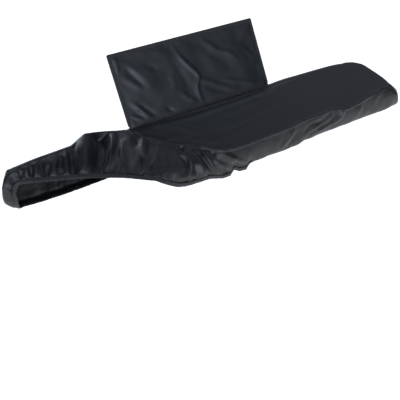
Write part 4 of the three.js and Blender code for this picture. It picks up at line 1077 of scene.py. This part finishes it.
def coated_cloth(name, dark, light, rough, pitch=0.0006, crinkle=1.0, sheen=0.12, seam_highlight=0.5, sheen_rough=0.35, specular=0.5):
    """Black woven synthetic with a thin coating: close plain weave, small crinkles, and a painted highlight in spots
    along its sewn edges.
    """
    m, t, p = principled(name, Roughness=rough)
    p.inputs["Specular IOR Level"].default_value = specular
    p.inputs["Sheen Weight"].default_value = sheen
    p.inputs["Sheen Roughness"].default_value = sheen_rough
    p.inputs["Sheen Tint"].default_value = (0.8, 0.87, 1.0, 1)
    tc = t.nodes.new("ShaderNodeTexCoord")
    uv, obj = tc.outputs["UV"], tc.outputs["Object"]

    def noise(coords, scale, detail=3.0, kind=None, roughness=0.5):
        n = t.nodes.new("ShaderNodeTexNoise")
        if kind:
            n.noise_type = kind
        n.inputs["Scale"].default_value = scale
        n.inputs["Detail"].default_value = detail
        n.inputs["Roughness"].default_value = roughness
        t.links.new(coords, n.inputs["Vector"])
        return n.outputs[0]

    waves_ = []
    for direction in ("X", "Y"):
        w = t.nodes.new("ShaderNodeTexWave")
        w.wave_type = "BANDS"
        w.bands_direction = direction
        w.inputs["Scale"].default_value = 0.314159 / pitch
        w.inputs["Distortion"].default_value = 0.6
        w.inputs["Detail"].default_value = 1.0
        t.links.new(uv, w.inputs["Vector"])
        waves_.append(w.outputs["Fac"])
    weave = math_node(t, "MULTIPLY", waves_[0], waves_[1])
    # colour: uneven dye, the weave's shadow, a painted highlight in spots near sewn edges
    patch = noise(obj, 9, 4)
    fine = noise(obj, 140, 3)
    mix = math_node(t, "ADD", math_node(t, "MULTIPLY", patch, 0.7), math_node(t, "MULTIPLY", fine, 0.3))
    tone = ramp(t, mix, [(0.3, dark), (0.7, light)])
    shade = t.nodes.new("ShaderNodeMix")
    shade.data_type = "RGBA"
    shade.blend_type = "MULTIPLY"
    t.links.new(tone, shade.inputs["A"])
    t.links.new(ramp(t, weave, [(0, (0.72, 0.72, 0.72)), (0.8, (1, 1, 1))]), shade.inputs["B"])
    shade.inputs["Factor"].default_value = 0.6
    colour = shade.outputs["Result"]
    # painted highlight: within about 14 mm of a sewn edge the colour is lifted in spots to a lighter grey, standing in
    # for the light caught along the seam line
    if seam_highlight:
        sep = t.nodes.new("ShaderNodeSeparateXYZ")
        t.links.new(uv, sep.inputs[0])
        near = math_node(t, "SUBTRACT", 1.0, math_node(t, "MULTIPLY", math_node(t, "ABSOLUTE", sep.outputs["Y"]), 70.0))
        near = math_node(t, "MAXIMUM", near, 0.0)
        spots = ramp(t, noise(obj, 60, 5, roughness=0.7), [(0.45, (0, 0, 0)), (0.75, (1, 1, 1))])
        seam_highlight_amount = math_node(t, "MULTIPLY", math_node(t, "MULTIPLY", near, spots), seam_highlight)
        d = t.nodes.new("ShaderNodeMix")
        d.data_type = "RGBA"
        t.links.new(seam_highlight_amount, d.inputs["Factor"])
        t.links.new(colour, d.inputs["A"])
        d.inputs["B"].default_value = (0.05, 0.052, 0.056, 1)
        colour = d.outputs["Result"]
    t.links.new(colour, p.inputs["Base Color"])
    r = noise(obj, 30, 4)
    t.links.new(ramp(t, r, [(0.25, (rough - 0.06,) * 3), (0.75, (rough + 0.08,) * 3)]), p.inputs["Roughness"])
    # bump: crinkles of the coating, then the weave
    ridged = noise(obj, 42, 3, "RIDGED_MULTIFRACTAL", 0.6)
    soft = noise(obj, 95, 2)
    height = math_node(t, "ADD", math_node(t, "MULTIPLY", ridged, 0.5), math_node(t, "MULTIPLY", soft, 0.5))
    b1 = t.nodes.new("ShaderNodeBump")
    b1.inputs["Strength"].default_value = 0.35 * crinkle
    b1.inputs["Distance"].default_value = 0.0006
    t.links.new(height, b1.inputs["Height"])
    b2 = t.nodes.new("ShaderNodeBump")
    b2.inputs["Strength"].default_value = 0.3
    b2.inputs["Distance"].default_value = 0.00008
    t.links.new(weave, b2.inputs["Height"])
    t.links.new(b1.outputs[0], b2.inputs["Normal"])
    t.links.new(b2.outputs[0], p.inputs["Normal"])
    return m


def tape(name, dark, light, rough, pitch, ribs_along):
    """Woven tape or shirred elastic: fine ribs over a matt weave."""
    m, t, p = principled(name, Roughness=rough)
    p.inputs["Sheen Weight"].default_value = 0.1
    p.inputs["Sheen Roughness"].default_value = 0.5
    tc = t.nodes.new("ShaderNodeTexCoord")
    uv, obj = tc.outputs["UV"], tc.outputs["Object"]
    w = t.nodes.new("ShaderNodeTexWave")
    w.bands_direction = "X" if ribs_along else "Y"
    w.inputs["Scale"].default_value = 0.314159 / pitch
    w.inputs["Distortion"].default_value = 1.2
    w.inputs["Detail"].default_value = 2
    t.links.new(uv, w.inputs["Vector"])
    n = t.nodes.new("ShaderNodeTexNoise")
    n.inputs["Scale"].default_value = 55
    n.inputs["Detail"].default_value = 5
    t.links.new(obj, n.inputs["Vector"])
    mix = math_node(t, "ADD", math_node(t, "MULTIPLY", n.outputs[0], 0.6), math_node(t, "MULTIPLY", w.outputs["Fac"], 0.4))
    t.links.new(ramp(t, mix, [(0.3, dark), (0.75, light)]), p.inputs["Base Color"])
    t.links.new(ramp(t, n.outputs[0], [(0.3, (rough - 0.07,) * 3), (0.7, (rough + 0.07,) * 3)]), p.inputs["Roughness"])
    b = t.nodes.new("ShaderNodeBump")
    b.inputs["Strength"].default_value = 0.5
    b.inputs["Distance"].default_value = 0.0003
    t.links.new(w.outputs["Fac"], b.inputs["Height"])
    t.links.new(b.outputs[0], p.inputs["Normal"])
    return m


def thread(name, dark, light):
    m, t, p = principled(name, Roughness=0.5)
    tc = t.nodes.new("ShaderNodeTexCoord")
    n = t.nodes.new("ShaderNodeTexNoise")
    n.inputs["Scale"].default_value = 900
    t.links.new(tc.outputs["Object"], n.inputs["Vector"])
    t.links.new(ramp(t, n.outputs[0], [(0.3, dark), (0.7, light)]), p.inputs["Base Color"])
    b = t.nodes.new("ShaderNodeBump")
    b.inputs["Strength"].default_value = 0.4
    b.inputs["Distance"].default_value = 0.0001
    t.links.new(n.outputs[0], b.inputs["Height"])
    t.links.new(b.outputs[0], p.inputs["Normal"])
    return m


# The top, skirt and sleeve are one black cloth. Each copy has its base colour (and the skirt a lower specular level)
# set lighter or darker to match how the light falls on that piece: painted light and shade.
TOP_CLOTH = coated_cloth("top_coated_cloth", (0.0050, 0.0060, 0.0075), (0.0075, 0.0090, 0.0110), 0.40, crinkle=0.4)
SKIRT_CLOTH = coated_cloth("skirt_coated_cloth", (0.0062, 0.0063, 0.0068), (0.0098, 0.0099, 0.0106), 0.44, crinkle=0.8, specular=0.46)
SLEEVE_CLOTH = coated_cloth("sleeve_coated_cloth", (0.0055, 0.0066, 0.0082), (0.0085, 0.0102, 0.0125), 0.40, crinkle=0.12, seam_highlight=0.0)
BAND_TAPE = tape("elastic_band_weave", (0.009, 0.009, 0.010), (0.018, 0.018, 0.019), 0.62, 0.0016, True)
BINDING_TAPE = tape("binding_tape_weave", (0.005, 0.0055, 0.006), (0.010, 0.0105, 0.0115), 0.58, 0.0009, False)
THREAD = thread("sewing_thread", (0.010, 0.010, 0.011), (0.024, 0.024, 0.026))


def finish_piece(obj, material, slot, *nodes):
    obj.data.materials.clear()
    obj.data.materials.append(material)
    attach(obj, "root")
    if nodes:
        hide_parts(*nodes)


finish_piece(top_cloth, TOP_CLOTH, "top_cloth", "top_panel")
finish_piece(skirt_cloth, SKIRT_CLOTH, "skirt_cloth", "skirt")
finish_piece(hem_band, BAND_TAPE, "elastic_band", "hem_elastic")
finish_piece(sleeve_front_cloth, SLEEVE_CLOTH, "sleeve_cloth", "sleeve_front")
finish_piece(sleeve_back_cloth, SLEEVE_CLOTH, "sleeve_cloth", "sleeve_back")
finish_piece(sleeve_binding_tape, BINDING_TAPE, "binding_tape", "sleeve_binding")
finish_piece(seam_stitching, THREAD, "skirt_cloth")
finish_piece(hem_stitching, THREAD, "elastic_band")
finish_piece(bind_stitch_front, THREAD, "binding_tape")
finish_piece(bind_stitch_back, THREAD, "binding_tape")

# ------------------------------------------------------------ floor and lights
FLOOR = -0.930
n = 24
xs = np.linspace(-9, 9, n + 1)
verts = [(x, y, FLOOR) for y in xs + 1.5 for x in xs]
quads = [(r * (n + 1) + c, r * (n + 1) + c + 1, (r + 1) * (n + 1) + c + 1, (r + 1) * (n + 1) + c) for r in range(n) for c in range(n)]
floor_mesh = bpy.data.meshes.new("studio_floor")
floor_mesh.from_pydata(verts, [], quads)
floor = link(bpy.data.objects.new("studio_floor", floor_mesh))
fm, ft, fp = principled("pale_floor", Roughness=0.7)
fp.inputs["Base Color"].default_value = (0.86, 0.855, 0.85, 1)
fp.inputs["Specular IOR Level"].default_value = 0.2
fp.inputs["Emission Color"].default_value = (1, 0.995, 0.99, 1)
fp.inputs["Emission Strength"].default_value = FLOOR_GLOW
floor.data.materials.append(fm)

world = bpy.data.worlds.new("studio")
bpy.context.scene.world = world
world.use_nodes = True
wt = world.node_tree
background = wt.nodes["Background"]
direction = wt.nodes.new("ShaderNodeTexCoord").outputs["Generated"]


def glow(towards, brightness, power):
    dot = wt.nodes.new("ShaderNodeVectorMath")
    dot.operation = "DOT_PRODUCT"
    dot.inputs[1].default_value = Vector(towards).normalized()
    wt.links.new(direction, dot.inputs[0])
    level = math_node(wt, "POWER", math_node(wt, "MAXIMUM", dot.outputs["Value"], 0.0), float(power))
    return math_node(wt, "MULTIPLY", level, brightness)


level = glow(*ROOM[0])
for args in ROOM[1:]:
    level = math_node(wt, "ADD", level, glow(*args))
level = math_node(wt, "ADD", level, AMBIENT)
background.inputs[0].default_value = (*TINT, 1)
wt.links.new(level, background.inputs[1])


def area_light(name, place, target, size, power, colour=(1, 1, 1)):
    light = bpy.data.lights.new(name, "AREA")
    light.shape = "RECTANGLE"
    light.size, light.size_y = size
    light.energy = power
    light.color = colour
    o = link(bpy.data.objects.new(name, light))
    o.location = place
    o.rotation_euler = (Vector(target) - Vector(place)).to_track_quat("-Z", "Y").to_euler()
    return o


for args in LIGHTS:
    area_light(*args)

# --------------------------------------------------------------------- camera
R = Rotation_from(( 2.07501406, -0.639829155, 0.281737312))
turn = R.T @ np.diag([1.0, -1.0, -1.0])
camera = bpy.data.cameras.new("camera")
camera.sensor_fit = "HORIZONTAL"
camera.sensor_width = 36.0
camera.lens = 57.3104
camera.clip_end = 60
cam = link(bpy.data.objects.new("camera", camera))
cam.matrix_world = Matrix.Translation((-1.0432257, -1.65486, 0.9308209)) @ Matrix(turn.tolist()).to_4x4()
bpy.context.scene.camera = cam
bpy.context.scene.view_settings.view_transform = "Standard"
